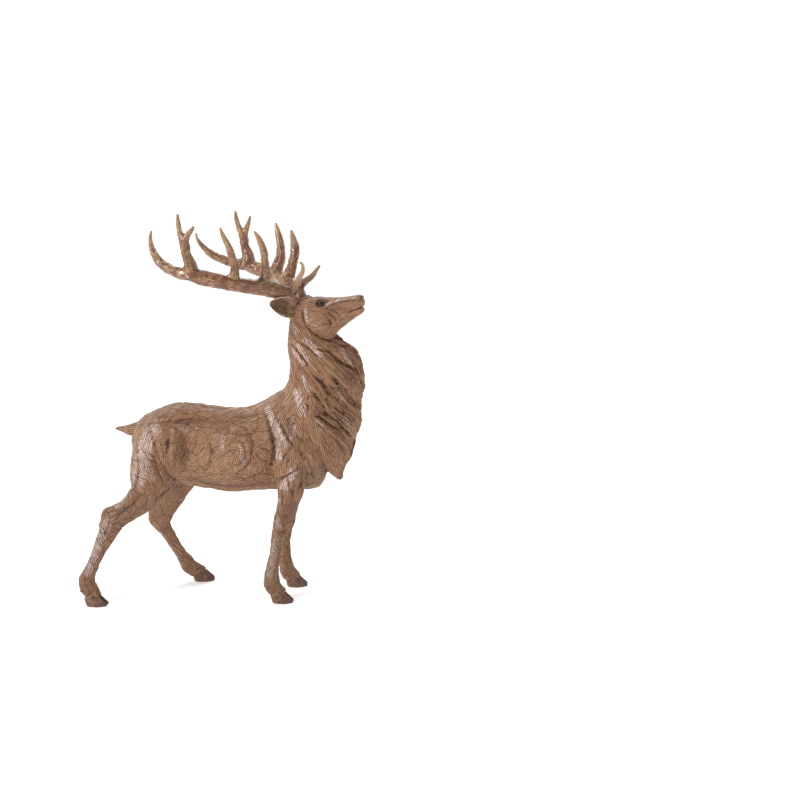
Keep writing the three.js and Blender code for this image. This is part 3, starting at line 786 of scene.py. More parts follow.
# Pale dry-brushed bands of the sides: a line of x and z, its half width and its strength.
BODY_BANDS = [
    ([(70, 307), (77, 294), (88, 274)], 5.5, 1.0), ([(80, 290), (92, 270), (106, 252)], 8.5, 1.0),
    ([(84, 272), (87, 250), (91, 228)], 6.5, 0.9), ([(112, 216), (101, 197), (94, 180)], 7, 1.0),
    ([(99, 316), (108, 290), (116, 262)], 4, 0.8), ([(118, 330), (122, 310), (128, 292)], 6, 0.8),
    ([(-100, 280), (-109, 247), (-116, 215), (-124, 187)], 11, 0.9),
    ([(-126, 192), (-140, 174), (-158, 152)], 6, 0.7), ([(8, 269), (6, 243)], 3, 0.7),
    ([(33, 256), (37, 223)], 3, 0.7), ([(-60, 282), (-48, 268)], 4, 0.4),
    ([(16, 278), (38, 276)], 3.5, 0.4), ([(-98, 284), (-86, 268)], 7, 0.8),
    ([(-106, 214), (-98, 196)], 6, 0.5),
]
HIND_BANDS = [([(-164, 144), (-172, 126), (-183, 100), (-197, 66), (-205, 46)], 6.5, 0.9)]
FORE_BANDS = [
    ([(84, 138), (86, 122)], 4.5, 0.8), ([(82, 108), (78, 84), (73, 60), (69, 40)], 5, 0.7),
    ([(90, 168), (88, 150)], 4, 0.6),
]


def rub_and_painted_highlight(hide, drawn, toward, share):
    """The drawn pale dry-brushed bands where the surface faces sideways, plus a share of painted
    highlight wherever it faces up and back, towards the key lamp."""
    normal = hide.normals()
    # Painted highlight on the planes that face the given direction, up and back towards the key lamp.
    facing = ramp(normal @ unit(np.array(toward)), 0.3, 1.0)
    return drawn * ramp(np.abs(normal[:, 1]), 0.15, 0.5) + share * facing


def body_rub_and_highlight(hide):
    """The pale bands of the flanks and of the legs, whose left pair stands further forward, and
    the painted highlight on the planes that face up and back.
    """
    left = (hide.points[:, 1] > 0)[:, None]
    sets = ((0, BODY_BANDS), (LEFT_HIND_SHIFT, HIND_BANDS), (LEFT_FORE_SHIFT, FORE_BANDS))
    drawn = [bands(hide.points - left * [shift, 0, 0], lines) for shift, lines in sets]
    return rub_and_painted_highlight(hide, np.max(drawn, axis=0), (-0.55, 0, 0.6), 0.22)


# The ruff.

# Turn round the neck and share of its length at which the locks begin and end, from the jaw down.
LOCK_ROOTS = [(0.3, 0.03), (1.5, 0.03), (2.7, 0.06), (2.5, 0.3), (1.75, 0.55)]
LOCK_TIPS = [(-0.08, 0.14), (-0.08, 1.0)]
# Where on the way to the throat each row of locks begins, and how many locks it has.
LOCK_ROWS, LOCKS_IN_ROW = (-0.04, 0.2, 0.44, 0.64), 11


def at_length(line, share):
    """The point of a smooth line at a share of its length."""
    dense = smooth(line, np.linspace(0, 1, 400))
    steps = np.linalg.norm(np.diff(dense, axis=0), axis=1)
    run = np.concatenate([[0], np.cumsum(steps)]) / steps.sum()
    return np.stack([np.interp(share, run, dense[:, k]) for k in range(2)], -1)


def ruff_place(side, u, v, lift):
    """A place on one half of the ruff: u runs along a lock from its root line to the throat, v
    down from the jaw to the tuft, and lift stands off the neck."""
    spot = at_length(LOCK_ROOTS, np.clip(v, 0, 1)) * (1 - u[..., None])
    spot = spot + at_length(LOCK_TIPS, np.clip(v, 0, 1)) * u[..., None]
    return neck_place(np.clip(spot[..., 1], 0, 1), side * spot[..., 0], lift)


def lock(side, u0, v0, length, width, thickness, luck):
    """One lock of the ruff: a tapering tube remapped onto the neck. Along its share s it sweeps
    from u0 over length; its section is width across v and thickness off the neck, broadest a
    third of the way and pointed at the tip; the root is sunk and the tip stands proud, over the
    root of the next lock; shallow ridges run along its back."""
    s, turn = turns(44, 26)
    s = s**0.9
    taper = np.minimum(((0.35 + s) / 0.7) ** 0.5 * (1 - s**2.2) ** 0.9, 1.1)
    weave = 0.2 * width * np.sin(np.pi * (1.4 * s + 2 * luck)) * s
    v = v0 + weave + 0.5 * width * taper * np.cos(turn)
    mass = 2.4 * np.sin(2 * np.pi * (5.3 * v0 + 0.35 * u0))
    base = -3.4 + mass + (4.8 + 3.2 * luck) * s**1.1
    back = bend(np.sin(turn), 0.6)
    ridges = 0.16 * np.cos(np.pi * 3.2 * np.cos(turn) + 5 * luck) * (np.sin(turn) > 0)
    waves = 2.6 * np.sin(2 * np.pi * 6.3 * v0 + 1) * ramp(u0 + length * s, 0.65, 1)
    lift = base + waves + thickness * (1 - s**4) ** 0.5 * (back + ridges)
    return loft(ruff_place(side, np.clip(u0 + length * s, -0.05, 1.08), v, lift))


def ruff_skins():
    """The neck and the rows of locks on each half of it, every lock a little different."""
    t, turn = turns(110, 110)
    skins = [loft(neck_place(t, turn, 0.6))]
    chance = np.random.default_rng(41)
    for side in (-1, 1):
        for row, u0 in enumerate(LOCK_ROWS):
            for k in range(LOCKS_IN_ROW):
                luck, slip, reach = chance.uniform(size=3)
                v0 = (k + 0.5 * (row % 2) + 0.4 * (slip - 0.5)) / 10.6
                u = u0 + 0.07 * (slip - 0.5)
                sizes = (0.42 + 0.12 * reach, 0.1 + 0.05 * luck, 3.8 + 1.6 * reach)
                skins.append(lock(side, u, v0, *sizes, luck))
    return skins


# Deep folds in the ruff, as x and z on the side view.
RUFF_FOLDS = [
    ([(168, 357), (183, 337), (195, 314), (206, 303)], 2.8, 7.5, 3.6),
    ([(130, 366), (154, 346), (168, 326), (180, 316), (202, 291)], 2.0, 4.6, 3.0),
    ([(127, 362), (132, 352), (138, 340)], 1.8, 2.8, 2.0),
    ([(123, 402), (137, 392), (157, 377)], 1.8, 3.0, 2.2),
    ([(161, 391), (183, 373), (205, 358)], 1.9, 3.6, 2.2),
    ([(139, 334), (158, 309), (163, 291)], 1.8, 3.4, 2.4),
    ([(155, 302), (177, 287), (195, 256)], 1.9, 3.8, 2.6),
    ([(150, 259), (164, 236), (181, 207)], 1.9, 3.8, 2.6),
    ([(135, 330), (133, 309), (129, 287)], 1.9, 3.0, 2.4),
    ([(153, 266), (165, 248), (160, 209)], 2.2, 3.6, -2.4),
    ([(143, 290), (160, 267), (170, 247)], 1.8, 3.0, 2.2),
    ([(129, 434), (140, 420), (154, 408), (176, 400)], 2.2, 3.4, -1.8),
    ([(112, 397), (122, 384), (136, 368)], 1.6, 2.4, 1.6),
]
# Pale bands of the ruff: a line of x and z, its half width and its strength.
RUFF_BANDS = [
    ([(113, 396), (122, 384), (133, 372)], 9, 1.0), ([(116, 334), (122, 311), (128, 290)], 6.5, 0.9),
    ([(138, 400), (156, 381)], 5, 0.8), ([(126, 408), (142, 398)], 3.5, 0.8),
    ([(145, 291), (154, 271)], 4.5, 0.6), ([(181, 393), (198, 367)], 3, 0.6),
    ([(108, 428), (118, 414)], 4, 0.6), ([(124, 354), (131, 344), (136, 330)], 4, 0.8),
    ([(176, 330), (188, 312)], 3, 0.5), ([(186, 290), (193, 270)], 3, 0.5),
]


def make_ruff(material):
    """The neck and its locks: fused, cut by the deep folds and carved along the locks."""
    hide = Hide(ruff_skins(), voxel=1.15)
    hide.relax(2)
    hide.blend_flow(6)
    cuts = np.zeros(len(hide.points))
    for (line, *sizes), side in product(RUFF_FOLDS, (-1, 1)):
        cuts = np.maximum(cuts, stroke(hide, line, side, *sizes))
    carve_hair(hide, [(5.0, 44, 0.9, 0.7, 21), (2.7, 22, 0.35, 0.3, 22)])
    hide.relax(1)
    # These marks give painted shade in creases, broad hollows and the folds, and painted light on broad
    # swellings.
    hide.mark("hollow", hide.hollows(8) / 1.1)
    hide.mark("form", hide.soften(hide.hollows(80), 3) / 5.0 + 0.15)
    lay_strokes(hide, cell=30, spread=0.3, seed=25)
    # Pale bands of the ruff, and painted highlight where the locks face up and back.
    hide.mark("rub_and_highlight", rub_and_painted_highlight(hide, bands(hide.points, RUFF_BANDS), (-0.6, 0, 0.6), 0.25))
    hide.mark("dark_tone_and_shade", np.zeros(len(hide.points)))
    hide.mark("cut", cuts)
    hide.finish("stag_ruff", material)


# The head.


def skull_skin():
    """Superellipses of power 0.9 from the skull's rows, slimmer at the jaw than at the brow."""
    t, turn = turns(110, 110)
    ahead, top, bottom, half = columns(SKULL, t)
    upward = bend(np.sin(turn), 0.9)
    width = bend(np.cos(turn), 0.9) * half * (1 + 0.2 * upward)
    skin = loft(in_head(np.stack([ahead, width, (top + bottom) / 2 + upward * (top - bottom) / 2], -1)))
    skin.flow = -skin.flow
    return skin


def ear_frame(side):
    """The ear's root, and the directions along it, out of its cup and across it."""
    root = in_head((4, side * 16, -12))
    axis = unit(-0.68 * AHEAD + 0.7 * side * OUT + 0.23 * UP)
    facing = 0.45 * AHEAD + 0.8 * side * OUT + 0.1 * UP
    front = unit(facing - axis * dot(facing, axis))
    return root, axis, front, np.cross(axis, front)


def ear_breadth(t):
    """Half the ear's breadth at a share of its length."""
    return EAR_WIDTH / 2 * np.sin(np.pi * (0.16 + 0.79 * np.clip(t, 0, 1))) ** 0.75


def ear_skin(side):
    """A leaf along the ear's axis: its breadth is a sine to the power 0.75, its edges are cupped
    outward with the square of the distance from its middle line, and it thins to the tip."""
    t, turn = turns(60, 60)
    root, axis, front, broad = ear_frame(side)
    breadth = ear_breadth(t)
    across = np.cos(turn)
    bowl = np.where(np.sin(turn) > 0, 0.3, 0.9)
    cup = 0.5 * breadth * across**2 * np.minimum(1, 3 * t)
    thick = EAR_THICKNESS / 2 * (1 - 0.6 * t) * np.sin(turn) * bowl
    grid = root + axis * (t * EAR_LENGTH)[..., None] + broad * (breadth * across)[..., None]
    return loft(grid + front * (cup + thick)[..., None])


def ear_marks(hide):
    """How far each point lies in an ear's cup, and how far on its rim."""
    cup, rim = np.zeros(len(hide.points)), np.zeros(len(hide.points))
    for side in (-1, 1):
        root, axis, front, broad = ear_frame(side)
        gap = hide.points - root
        run = gap @ axis / EAR_LENGTH
        aside = np.abs(gap @ broad) / ear_breadth(run)
        on_ear = ramp(run, 0.28, 0.4) * (np.abs(gap @ front) < 0.8 * EAR_WIDTH)
        inside = (1 - ramp(aside, 0.6, 0.85)) * (1 - ramp(run, 0.8, 0.95))
        inside = inside * ramp(hide.normals() @ front, 0.1, 0.5)
        cup = np.maximum(cup, on_ear * inside)
        rim = np.maximum(rim, on_ear * ramp(aside, 0.75, 0.95))
    return cup, rim


# Forms of the head: ahead, outward, upward, the reach along each, and the height.
HEAD_FORMS = [
    (37, 14, 7, 8, 7, 3.6, 2.6), (41, 20, -2, 8.5, 7, 6, -3.2), (31, 20, -6, 5, 6, 4, -1.2),
    (52, 15, -9, 7, 5, 2.8, -1.2), (39, 20, -26, 15, 9, 13, 3.2), (21, 20, -19, 3.2, 7, 13, 2.4),
    (64, 13, -10, 13, 6, 5.5, -2.8), (56, 14, -30, 4, 6, 12, -1.6), (96, 9, 10, 5, 4, 3, 1.4),
    (101, 7, 8, 2.8, 3.2, 2.2, -3.0), (96, 5, -11, 6, 8, 3, 1.2), (84, 9, -4, 6, 5, 3, 1.2),
    (14, 5, 6, 4.5, 8, 4.5, 4.6), (7, 8, 5, 3, 8, 4, -1.4), (23, 15, 3, 4, 5, 3.6, 2.4),
    (60, 0, 9, 24, 4, 4, -1.0),
]
# The edge where the jaw meets the neck, and the ridge from the eye's corner to the nostril, both
# as ahead and upward.
JAW_EDGE = [(14.5, -10), (15.5, -20), (18.5, -37), (26, -47), (36, -53)]
NOSE_RIDGE = [(47, -4), (58, 1), (70, 4.2), (82, 6.8), (94, 8.6)]
CHEEK_CUTS = [
    [(52, -14), (60, -20), (64, -28)], [(57, -10), (66, -15), (71, -21)],
    [(49, -20), (55, -27), (57, -34)],
]
# Pale bands of the cheek, as ahead and upward, half width and strength.
CHEEK_BANDS = [([(21, -8), (21, -20), (24, -32)], 2.6, 0.8), ([(30, -30), (40, -38), (50, -36)], 2.4, 0.4)]


def head_line(place, line, width):
    """A bell along a line drawn on the head's side, as ahead and upward."""
    distance, run, _ = along_line(place, line)
    outward = np.abs(place[:, 1])
    facing = ramp(outward, 4, 9) * (outward < 26) * ramp(np.minimum(run, 1 - run), -0.02, 0.12)
    return facing * np.exp(-((distance / width) ** 2))


def shape_head(hide):
    """Adds the forms as bells on both sides of the head, lids as a ring round each eye, the
    ridge along the nose, the jaw's edge, and the line between the lips. Gives the distance from
    the eye, 1 at the lid's edge, and how far each point lies in the lips, in the dark places (the
    eye's surround, partly dark paint and partly painted shade, and painted shade in the nostril
    and the grooves) and on the ridge."""
    place = from_head(hide.points)
    ahead, outward, upward = place[:, 0], np.abs(place[:, 1]), place[:, 2]
    height = np.zeros(len(place))
    for a, o, u, reach_a, reach_o, reach_u, rise in HEAD_FORMS:
        away = ((ahead - a) / reach_a) ** 2 + ((upward - u) / reach_u) ** 2
        height += rise * np.exp(-away - ((outward - o) / reach_o) ** 2)
    slanted = upward + 1 - 0.12 * (ahead - 41)
    ring = np.hypot((ahead - 41) / 9.4, slanted / 6.2)
    beside = ramp(outward, 8, 13)
    lid = np.exp(-(((ring - 0.82) / 0.19) ** 2)) * beside * (1 + 0.5 * ramp(slanted, 0, 4))
    nose = head_line(place, NOSE_RIDGE, 1.7)
    under = head_line(place, np.array(NOSE_RIDGE) - (0, 3.4), 1.6)
    jaw = head_line(place, JAW_EDGE, 1.7)
    cuts = sum(head_line(place, line, 1.1) for line in CHEEK_CUTS)
    along = 103 - ahead
    gape = np.abs(upward + 4.6 + 0.43 * along)
    lips = np.exp(-((gape / 1.25) ** 2)) * (1 - ramp(along, 17, 27)) * ramp(ahead, 74, 80)
    hide.raise_by(height + 1.4 * lid + 1.5 * nose - 0.9 * under - 2.2 * jaw - cuts - 2.6 * lips)
    nostril = np.exp(-(((ahead - 101) / 3) ** 2) - ((upward - 8) / 2.2) ** 2) * ramp(outward, 3, 5)
    eye = (1 - ramp(ring, 0.85, 1.12)) * beside
    # Dark paint and painted shade round the eye; painted shade in the nostril and the grooves.
    shades = [2.1 * eye, 1.7 * nostril, 1.5 * lips, 1.4 * jaw, 0.8 * under, 1.1 * cuts]
    return ring, lips, np.max(shades, axis=0), nose


def make_head(material):
    """The skull and ears: fused, given the head's forms, and carved except round the eyes and on
    the muzzle. The dark paint and painted shade round the eyes are more than full, so their mark
    may pass 1."""
    hide = Hide([skull_skin(), ear_skin(-1), ear_skin(1)], voxel=0.95)
    hide.relax(4)
    ring, lips, dark, ridge = shape_head(hide)
    cup, rim = ear_marks(hide)
    hide.blend_flow(20)
    hide.relax(1)
    place = from_head(hide.points)
    calm = ramp(ring, 0.9, 1.6) * (1 - ramp(place[:, 0], 86, 95)) * (1 - lips)
    carve_hair(hide, [(4.6, 14, 0.5, 0.35, 31), (2.6, 9, 0.25, 0.25, 32)], 0.2 + 0.8 * calm)
    hide.relax(1)
    # These marks give painted shade in creases and broad hollows, and painted light on broad swellings.
    hide.mark("hollow", hide.hollows(8) / 0.5)
    hide.mark("form", hide.soften(hide.hollows(80), 3) / 1.8)
    lay_strokes(hide, cell=14, spread=0.9, seed=35)
    nose = ramp(place[:, 0], 94, 101) * ramp(place[:, 2], -6, 4)
    below = np.exp(-(((place[:, 0] - 66) / 14) ** 2 + ((place[:, 2] + 9) / 6) ** 2))
    hide.mark("cut", np.zeros(len(place)))
    # Painted shade in the grooves, round the eyes, in the ear's cup and in the muzzle's hollow; the darker
    # nose tip is tone.
    hide.marks["dark_tone_and_shade"] = np.maximum(dark, 0.5 * nose + 1.7 * cup + 0.6 * below)
    # Pale cheek bands, nose ridge and ear rim, and painted highlight on the planes that face up.
    top = 0.35 * ramp(hide.normals()[:, 2], 0.3, 1)
    hide.mark("rub_and_highlight", np.max([bands(place, CHEEK_BANDS), top, 0.9 * ridge, 0.9 * rim], axis=0))
    hide.finish("stag_head", material)


# Ahead, outward and upward of each eyeball's middle.
EYE_PLACE, EYE_RADIUS = (40.5, 14.7, -2), 4.6


def eye_skin(side):
    """A sphere whose front bulges a little more where the cornea is."""
    t, turn = turns(34, 40)
    polar = np.pi * (0.02 + 0.96 * t)
    cornea = 0.07 * np.exp(-((polar / 0.6) ** 2))
    radius = EYE_RADIUS * (1 + cornea)
    around = [np.sin(polar) * np.cos(turn), np.cos(polar), np.sin(polar) * np.sin(turn)]
    return loft(in_head((EYE_PLACE + radius[..., None] * np.stack(around, -1)) * [1, side, 1]))


# The antlers.


def horn_skin(table, growth, side, rings, segments):
    """A round horn whose sections stand square to the plane that it bends in."""
    rows = np.array(table, float) * [1, 1, 1, growth, 1]
    rows[:, 2] += side * rows[:, 4]
    rows[:, 1] *= side
    start, middle, end = in_head(rows[[0, len(rows) // 2, -1], :3])
    sideways = unit(np.cross(middle - start, end - start))
    rows[:, 4] = rows[:, 3]
    return sweep(rows, sideways, rings, segments, in_head)


# How much thicker than in the table each tine of the left and of the right antler has grown.
GROWTH = {-1: (1.1, 1.1, 1.25, 1.3), 1: (1.05, 1.05, 1.0, 1.05)}
BROW_GROWTH = 1.15
# How many times the crotches between the tines are filled a little more.
CROTCH_FILLS = 3
# Where an antler leaves the skull, as ahead, outward and upward, and how far its burr reaches.
ANTLER_ROOT, BURR_REACH = (-4, 16, -1), 9


def make_antlers(material):
    """Both antlers: fused, their crotches filled wherever they lie deep, and furrowed except on
    the worn tips, with a lumpy burr round each root."""
    skins = []
    for side in (-1, 1):
        skins.append(horn_skin(BEAM, 1, side, 260, 36))
        for rows, growth in zip(TINES, GROWTH[side]):
            skins.append(horn_skin(rows, growth, side, 110, 26))
        skins.append(horn_skin(BROW_TINES[side], BROW_GROWTH, side, 90, 22))
    hide = Hide(skins, voxel=1.25)
    hide.relax(8)
    for _ in range(CROTCH_FILLS):
        hide.raise_by(1.1 * np.clip(-hide.soften(hide.hollows(100), 3), 0, 5))
        hide.relax(4)
    hide.blend_flow(6)
    place = from_head(hide.points)
    place[:, 1] = np.abs(place[:, 1])
    burr = np.exp(-((place - ANTLER_ROOT) ** 2).sum(1) / BURR_REACH**2)
    tips = [rows[-1][:3] for rows in (*TINES, BEAM, *BROW_TINES.values())]
    reach = np.min([np.linalg.norm(place - tip, axis=1) for tip in tips], axis=0)
    worn = 1 - ramp(reach, 12, 42)
    carve_hair(hide, [(5.5, 44, 0.5, 0.5, 51), (3.0, 16, 0.25, 0.3, 52)], 1 - 0.75 * worn)
    lumps = 0.35 * wander(hide.points, 17, 9) + 0.12 * wander(hide.points, 8, 10)
    hide.raise_by(1.5 * burr * (0.6 + wander(hide.points, 7, 8)) + lumps * (1 - 0.8 * worn))
    hide.relax(1)
    hide.mark("hollow", hide.hollows(6) / 0.5)
    lay_strokes(hide, cell=30, spread=0.2, seed=55)
    hide.mark("rub_and_highlight", worn)
    hide.mark("dark_tone_and_shade", ramp(-place[:, 2], -30, -4))
    hide.finish("stag_antlers", material)


# The hooves.


def toe_grid(side):
    """One toe, heel at the origin: slices from the flat sole to the coronet, which slants up to
    the front. The front edge is blunt at the sole and then falls back in a bulging curve; the
    slices are slimmer and turned inward at the tip, and swell a little under the coronet. Side 0
    is the web that joins the two toes."""
    t, turn = turns(60, 64)
    web = 1 - abs(side)
    width = (HOOF_WIDTH - TOE_CLEFT) / 4
    front = HOOF_LENGTH * (1.01 - 0.68 * t**1.15 - 0.06 * np.exp(-((t / 0.07) ** 2)) - 0.1 * web)
    rear = HOOF_LENGTH * (0.06 - 0.09 * t + 0.03 * np.exp(-((t / 0.07) ** 2)) + 0.06 * web)
    swell = 1 + 0.03 * np.exp(-(((t - 0.93) / 0.06) ** 2))
    tip = np.maximum(0, np.cos(turn)) ** 2
    narrowing = (1 - 0.42 * tip) * (1 - 0.1 * t) * swell
    x = (front + rear) / 2 + (front - rear) / 2 * np.cos(turn) * swell
    y = side * ((width + TOE_CLEFT / 2) * (1 - 0.3 * tip)) + width * narrowing * np.sin(turn)
    return np.stack([x, y, HOOF_HEIGHT * t * (1 + 0.3 * np.cos(turn)) * (1 - 0.12 * web)], -1)


def claw_grid(side):
    """A small claw behind the fetlock: an ellipsoid slanting down and back."""
    t, turn = turns(20, 24)
    polar = np.pi * (0.03 + 0.94 * t)
    x = 0.3 * CLAW_LENGTH * np.sin(polar) * np.cos(turn)
    y = 0.28 * CLAW_LENGTH * np.sin(polar) * np.sin(turn)
    z = -0.5 * CLAW_LENGTH * np.cos(polar)
    slant = np.radians(24)
    ahead = x * np.cos(slant) + z * np.sin(slant) - 0.1 * HOOF_LENGTH
    upward = z * np.cos(slant) - x * np.sin(slant) + HOOF_HEIGHT + 0.9 * CLAW_LENGTH
    return np.stack([ahead, y + 0.27 * side * HOOF_WIDTH, upward], -1)




def make_hooves(material):
    """The toes of each hoof joined by their web, with rings of growth round them and a pale rim
    at the coronet."""
    skins = []
    for (x, y), splay, _ in LEGS.values():
        cos, sin = np.cos(np.radians(splay)), np.sin(np.radians(splay))
        turned = [(cos, sin, 0), (-sin, cos, 0), (0, 0, 1)]
        grids = [toe_grid(-1), toe_grid(0), toe_grid(1), claw_grid(-1), claw_grid(1)]
        skins += [loft(grid @ turned + (x, y, 0)) for grid in grids]
    hide = Hide(skins, voxel=0.9)
    hide.relax(5)
    heels = np.array([(x, y, 0) for (x, y), _, _ in LEGS.values()])
    middles = heels + [0.5 * HOOF_LENGTH, 0, 0]
    nearest = np.linalg.norm(hide.points[:, None] - middles, axis=-1).argmin(1)
    place = hide.points - heels[nearest]
    top = HOOF_HEIGHT * (1 + 0.3 * np.clip((place[:, 0] / HOOF_LENGTH - 0.25) / 0.25, -1, 1))
    level = place[:, 2] / top
    sides = 1 - ramp(np.abs(hide.normals()[:, 2]), 0.7, 0.95)
    rings = np.sin(2 * np.pi * 5.5 * level + 0.8 * wander(hide.points, 12, 61))
    hide.raise_by(sides * (0.22 * rings * ramp(level, 0.05, 0.2) + 0.25 * wander(hide.points, 9, 62)))
    hide.points[:, 2] = np.maximum(hide.points[:, 2], 0)
    hide.mark("hollow", hide.hollows(8) / 0.5)
    hide.mark("rub_and_highlight", np.exp(-(((level - 0.95) / 0.1) ** 2)) * (place[:, 0] > 0))
    hide.mark("dark_tone_and_shade", ramp(place[:, 0] / HOOF_LENGTH - 0.5 * level, 0.3, 0.8))
    hide.finish("stag_hooves", material)


# The finishes.


class Finish:
    """The nodes of one material, added one after another. Each call gives an output socket."""

    def __init__(self, name):
        """A new material with its own surface node."""
        self.material = bpy.data.materials.new(name)
        self.material.use_nodes = True
        self.tree = self.material.node_tree
        self.surface = self.tree.nodes["Principled BSDF"].inputs

    def feed(self, socket, value):
        """Links a socket to another node's output, or sets its number or colour."""
        if isinstance(value, bpy.types.NodeSocket):
            self.tree.links.new(value, socket)
        elif socket.type == "RGBA":
            socket.default_value = (*value, 1)
        else:
            socket.default_value = value

    def node(self, kind, inputs, **settings):
        """A new node's outputs."""
        made = self.tree.nodes.new("ShaderNode" + kind)
        for key, value in settings.items():
            setattr(made, key, value)
        for key, value in inputs.items():
            self.feed(made.inputs[key], value)
        return made.outputs

    def sum(self, operation, *numbers):
        """One step of arithmetic on numbers or sockets."""
        return self.node("Math", dict(enumerate(numbers)), operation=operation)[0]

    def times(self, a, b):
        """a times b."""
        return self.sum("MULTIPLY", a, b)

    def vector(self, x, y, z):
        """Three numbers as one vector."""
        return self.node("CombineXYZ", {0: x, 1: y, 2: z})[0]

    def mix(self, share, a, b):
        """From a to b; a colour is three levels or a socket."""
        a, b = (c if isinstance(c, bpy.types.NodeSocket) else srgb(c) for c in (a, b))
        return self.node("Mix", {0: share, 6: a, 7: b}, data_type="RGBA", clamp_factor=True)[2]

    def coats(self, body, rows):
        """Each row's colour laid over the last by its share, times its weight."""
        for share, weight, colour in rows:
            body = self.mix(self.times(share, weight), body, colour)
        return body

    def spread(self, value, low, high):
        """0 at low and 1 at high."""
        inputs = {0: value, 1: low, 2: high}
        return self.node("MapRange", inputs, interpolation_type="SMOOTHSTEP")[0]

    def marks(self, *names):
        """Numbers kept on the mesh."""
        return [self.node("Attribute", {}, attribute_name=name)[2] for name in names]

    def noise(self, vector, scale, detail=2.0, roughness=0.5):
        """Soft clouds between 0 and 1, about 1 / scale apart."""
        inputs = {"Vector": vector, "Scale": scale, "Detail": detail, "Roughness": roughness}
        return self.node("TexNoise", inputs)[0]

    def drawing(self, scale=(1, 1, 1)):
        """The Object coordinates in millimetres, each times its scale."""
        place = self.node("TexCoord", {})["Object"]
        scale = tuple(s / MM for s in scale)
        return self.node("VectorMath", {0: place, 1: scale}, operation="MULTIPLY")[0]

    def brushed(self, pitch, length):
        """Hatched strokes along the patches that the mesh keeps. Waves of the given pitch across
        the strokes, bent a little by noise, are the lines: 0.9 on the flats and a sharp dip in
        each cut, where noise stretched to the strokes' length lets the cut run."""
        strokes = self.node("Attribute", {}, attribute_name="strokes")[1]
        run, side, luck = self.node("SeparateXYZ", {0: strokes})
        shifted = self.times(luck, 53.0)

        def stretched(wide, long):
            """The place in the patch, with wide and long as its units."""
            return self.vector(self.sum("DIVIDE", side, wide), self.sum("DIVIDE", run, long), shifted)

        breaks = self.noise(stretched(0.9 * pitch, length), 1.0, 2.0, 0.55)
        bent = self.times(self.noise(stretched(6 * pitch, 1.4 * length), 1.0, 1.0), 7.0)
        wave = self.sum("SINE", self.sum("ADD", self.times(side, 2 * np.pi / pitch), bent))
        cut = self.sum("POWER", self.sum("MULTIPLY_ADD", wave, 0.5, 0.5), 2.0)
        cut = self.times(cut, self.spread(breaks, 0.36, 0.54))
        grain = self.times(self.sum("SUBTRACT", breaks, 0.5), 0.5)
        return self.sum("ADD", self.sum("SUBTRACT", 0.9, cut), grain), luck

    def done(self, colour, roughness, bump, depth):
        """Ties the colour, the roughness and a bump depth millimetres deep to the surface."""
        self.feed(self.surface["Base Color"], colour)
        self.feed(self.surface["Roughness"], roughness)
        inputs = {"Height": bump, "Distance": depth * MM, "Strength": 1.0}
        self.feed(self.surface["Normal"], self.node("Bump", inputs)[0])
        return self.material


def srgb(levels):
    """A colour of 0 to 255 levels as the linear shares that the shader takes."""
    shares = np.array(levels) / 255
    linear = np.where(shares < 0.04045, shares / 12.92, ((shares + 0.055) / 1.055) ** 2.4)
    return tuple(linear.tolist())


def hair_finish(name, pitch, length):
    """Brown resin with hatched hair: tan ridges, reddish brown strokes, painted shade in the creases,
    grooves and broad hollows, painted light on broad swellings, and a pale greyish rub on the planes
    that the marks name, partly dry-brush and partly painted highlight."""
    f = Finish(name)
    place = f.drawing()
    coarse, luck = f.brushed(pitch, length)
    fine, _ = f.brushed(0.53 * pitch, 0.7 * length)
    blotch = f.noise(place, 0.035, 3.0, 0.6)
    mottle = f.noise(place, 0.13, 3.0, 0.6)
    hollow, rub_and_highlight, dark_tone_and_shade, form, cut = f.marks("hollow", "rub_and_highlight", "dark_tone_and_shade", "form", "cut")
    ridge = f.times(f.spread(coarse, 0.4, 0.75), f.spread(hollow, -0.6, 0.2))
    red = f.mix(f.spread(mottle, 0.4, 0.55), (86, 60, 40), (142, 74, 50))
    body = f.coats(f.mix(f.spread(blotch, 0.38, 0.66), (153, 121, 86), (145, 103, 74)), [
        # Painted shade in the broad hollows.
        (f.spread(form, 0.0, -0.8), 0.6, (106, 78, 52)),
        # Painted light on the broad swellings.
        (f.spread(form, 0.1, 0.9), 0.4, (182, 142, 110)),
        (f.spread(mottle, 0.5, 0.72), 0.45, (130, 102, 74)),
        (luck, 0.32, (180, 140, 106)),
        (f.spread(fine, 0.72, 0.3), 0.45, (138, 82, 58)),
        (f.spread(coarse, 0.84, 1.02), 0.5, (200, 162, 130)),
        # Pale dry-brushed rub, and painted highlight where the planes face the lamp.
        (f.sum("MULTIPLY_ADD", ridge, 0.8, 0.12), rub_and_highlight, (214, 194, 184)),
        (f.spread(coarse, 0.75, 0.05), 0.85, red),
        # Painted shade in the chiselled grooves and the ruff's folds.
        (cut, 0.7, (92, 52, 34)),
        # Painted shade in the creases.
        (f.spread(hollow, -0.15, -1.0), 0.8, (70, 44, 30)),
        # Darker tone, and painted shade where the mark says.
        (dark_tone_and_shade, 0.4, (92, 64, 46)),
    ])
    rough = f.sum("SUBTRACT", 0.62, f.times(coarse, 0.16))
    f.surface["Specular IOR Level"].default_value = 0.4
    return f.done(body, rough, f.sum("ADD", coarse, f.times(fine, 0.3)), 0.55)


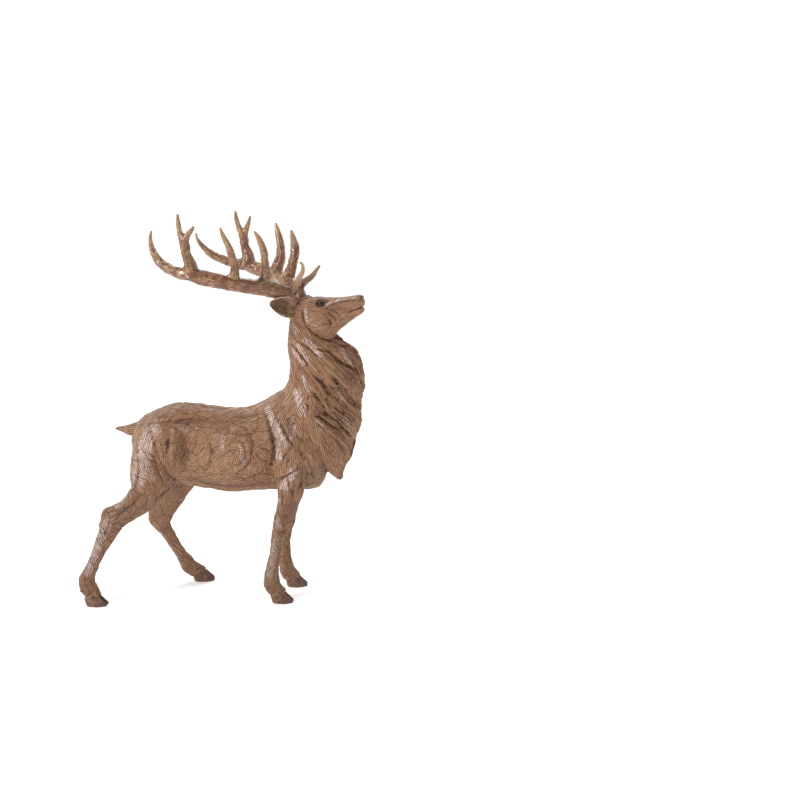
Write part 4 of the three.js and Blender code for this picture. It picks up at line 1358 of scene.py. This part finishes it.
def antler_finish():
    """Reddish brown antler with painted shade in its furrows, gold rubbed over broad patches of its
    ridges and paler worn tips, under a gloss."""
    f = Finish("antler_gold_rubbed")
    place = f.drawing()
    grain, _ = f.brushed(2.8, 14.0)
    blotch = f.noise(place, 0.06, 3.0, 0.6)
    patches = f.noise(place, 0.11, 3.0, 0.65)
    hollow, worn, dark_tone_and_shade = f.marks("hollow", "rub_and_highlight", "dark_tone_and_shade")
    gold = f.times(f.spread(patches, 0.5, 0.62), f.spread(hollow, -0.5, 0.1))
    gold = f.times(gold, f.spread(grain, 0.1, 0.8))
    body = f.coats(f.mix(f.spread(blotch, 0.36, 0.62), (150, 108, 70), (134, 78, 50)), [
        (f.spread(patches, 0.5, 0.38), 0.4, (108, 70, 46)),
        (f.spread(grain, 0.7, 0.2), 0.4, (92, 56, 36)),
        (worn, 0.6, (178, 142, 106)),
        (gold, 0.6, (196, 164, 108)),
        # Painted shade in the furrows and crotches.
        (f.spread(hollow, 0.0, -0.7), 0.85, (60, 36, 22)),
        # Darker towards the bottom.
        (dark_tone_and_shade, 0.3, (118, 72, 50)),
    ])
    f.surface["Specular IOR Level"].default_value = 0.6
    f.surface["Coat Weight"].default_value = 0.45
    f.surface["Coat Roughness"].default_value = 0.14
    return f.done(body, f.sum("SUBTRACT", 0.4, f.times(gold, 0.16)), grain, 0.45)


def hoof_finish():
    """Brown like the legs, darker towards the toe, with painted shade in the cleft and a pale coronet."""
    f = Finish("hoof_dark")
    cloud = f.noise(f.drawing(), 0.16, 4.0, 0.6)
    rings = f.noise(f.drawing((0.05, 0.05, 1.1)), 1.0, 2.0)
    hollow, rim, toe = f.marks("hollow", "rub_and_highlight", "dark_tone_and_shade")
    body = f.coats(f.mix(f.spread(cloud, 0.35, 0.62), (138, 102, 78), (104, 70, 54)), [
        (toe, 0.6, (82, 64, 56)),
        (f.spread(rings, 0.5, 0.35), 0.45, (62, 42, 32)),
        (rim, 0.35, (166, 134, 110)),
        # Painted shade in the cleft and the hollows.
        (f.spread(hollow, -0.1, -0.9), 0.85, (52, 36, 28)),
    ])
    return f.done(body, f.sum("SUBTRACT", 0.55, f.times(cloud, 0.2)), rings, 0.35)


def eye_finish():
    """Nearly black, with a faint brown cloud and a wet shine."""
    f = Finish("eye_dark")
    cloud = f.noise(f.drawing(), 0.6, 2.0)
    return f.done(f.mix(cloud, (24, 17, 13), (52, 36, 26)), f.times(cloud, 0.6), cloud, 0.05)


make_body(hair_finish("resin_brushed_hair", 3.0, 11.0))
make_ruff(hair_finish("resin_long_locks", 3.1, 24.0))
make_head(hair_finish("resin_short_hair", 2.7, 9.0))
make_antlers(antler_finish())
make_hooves(hoof_finish())
hand_in(write_mesh("stag_eyes", *joined([eye_skin(-1), eye_skin(1)])), eye_finish())
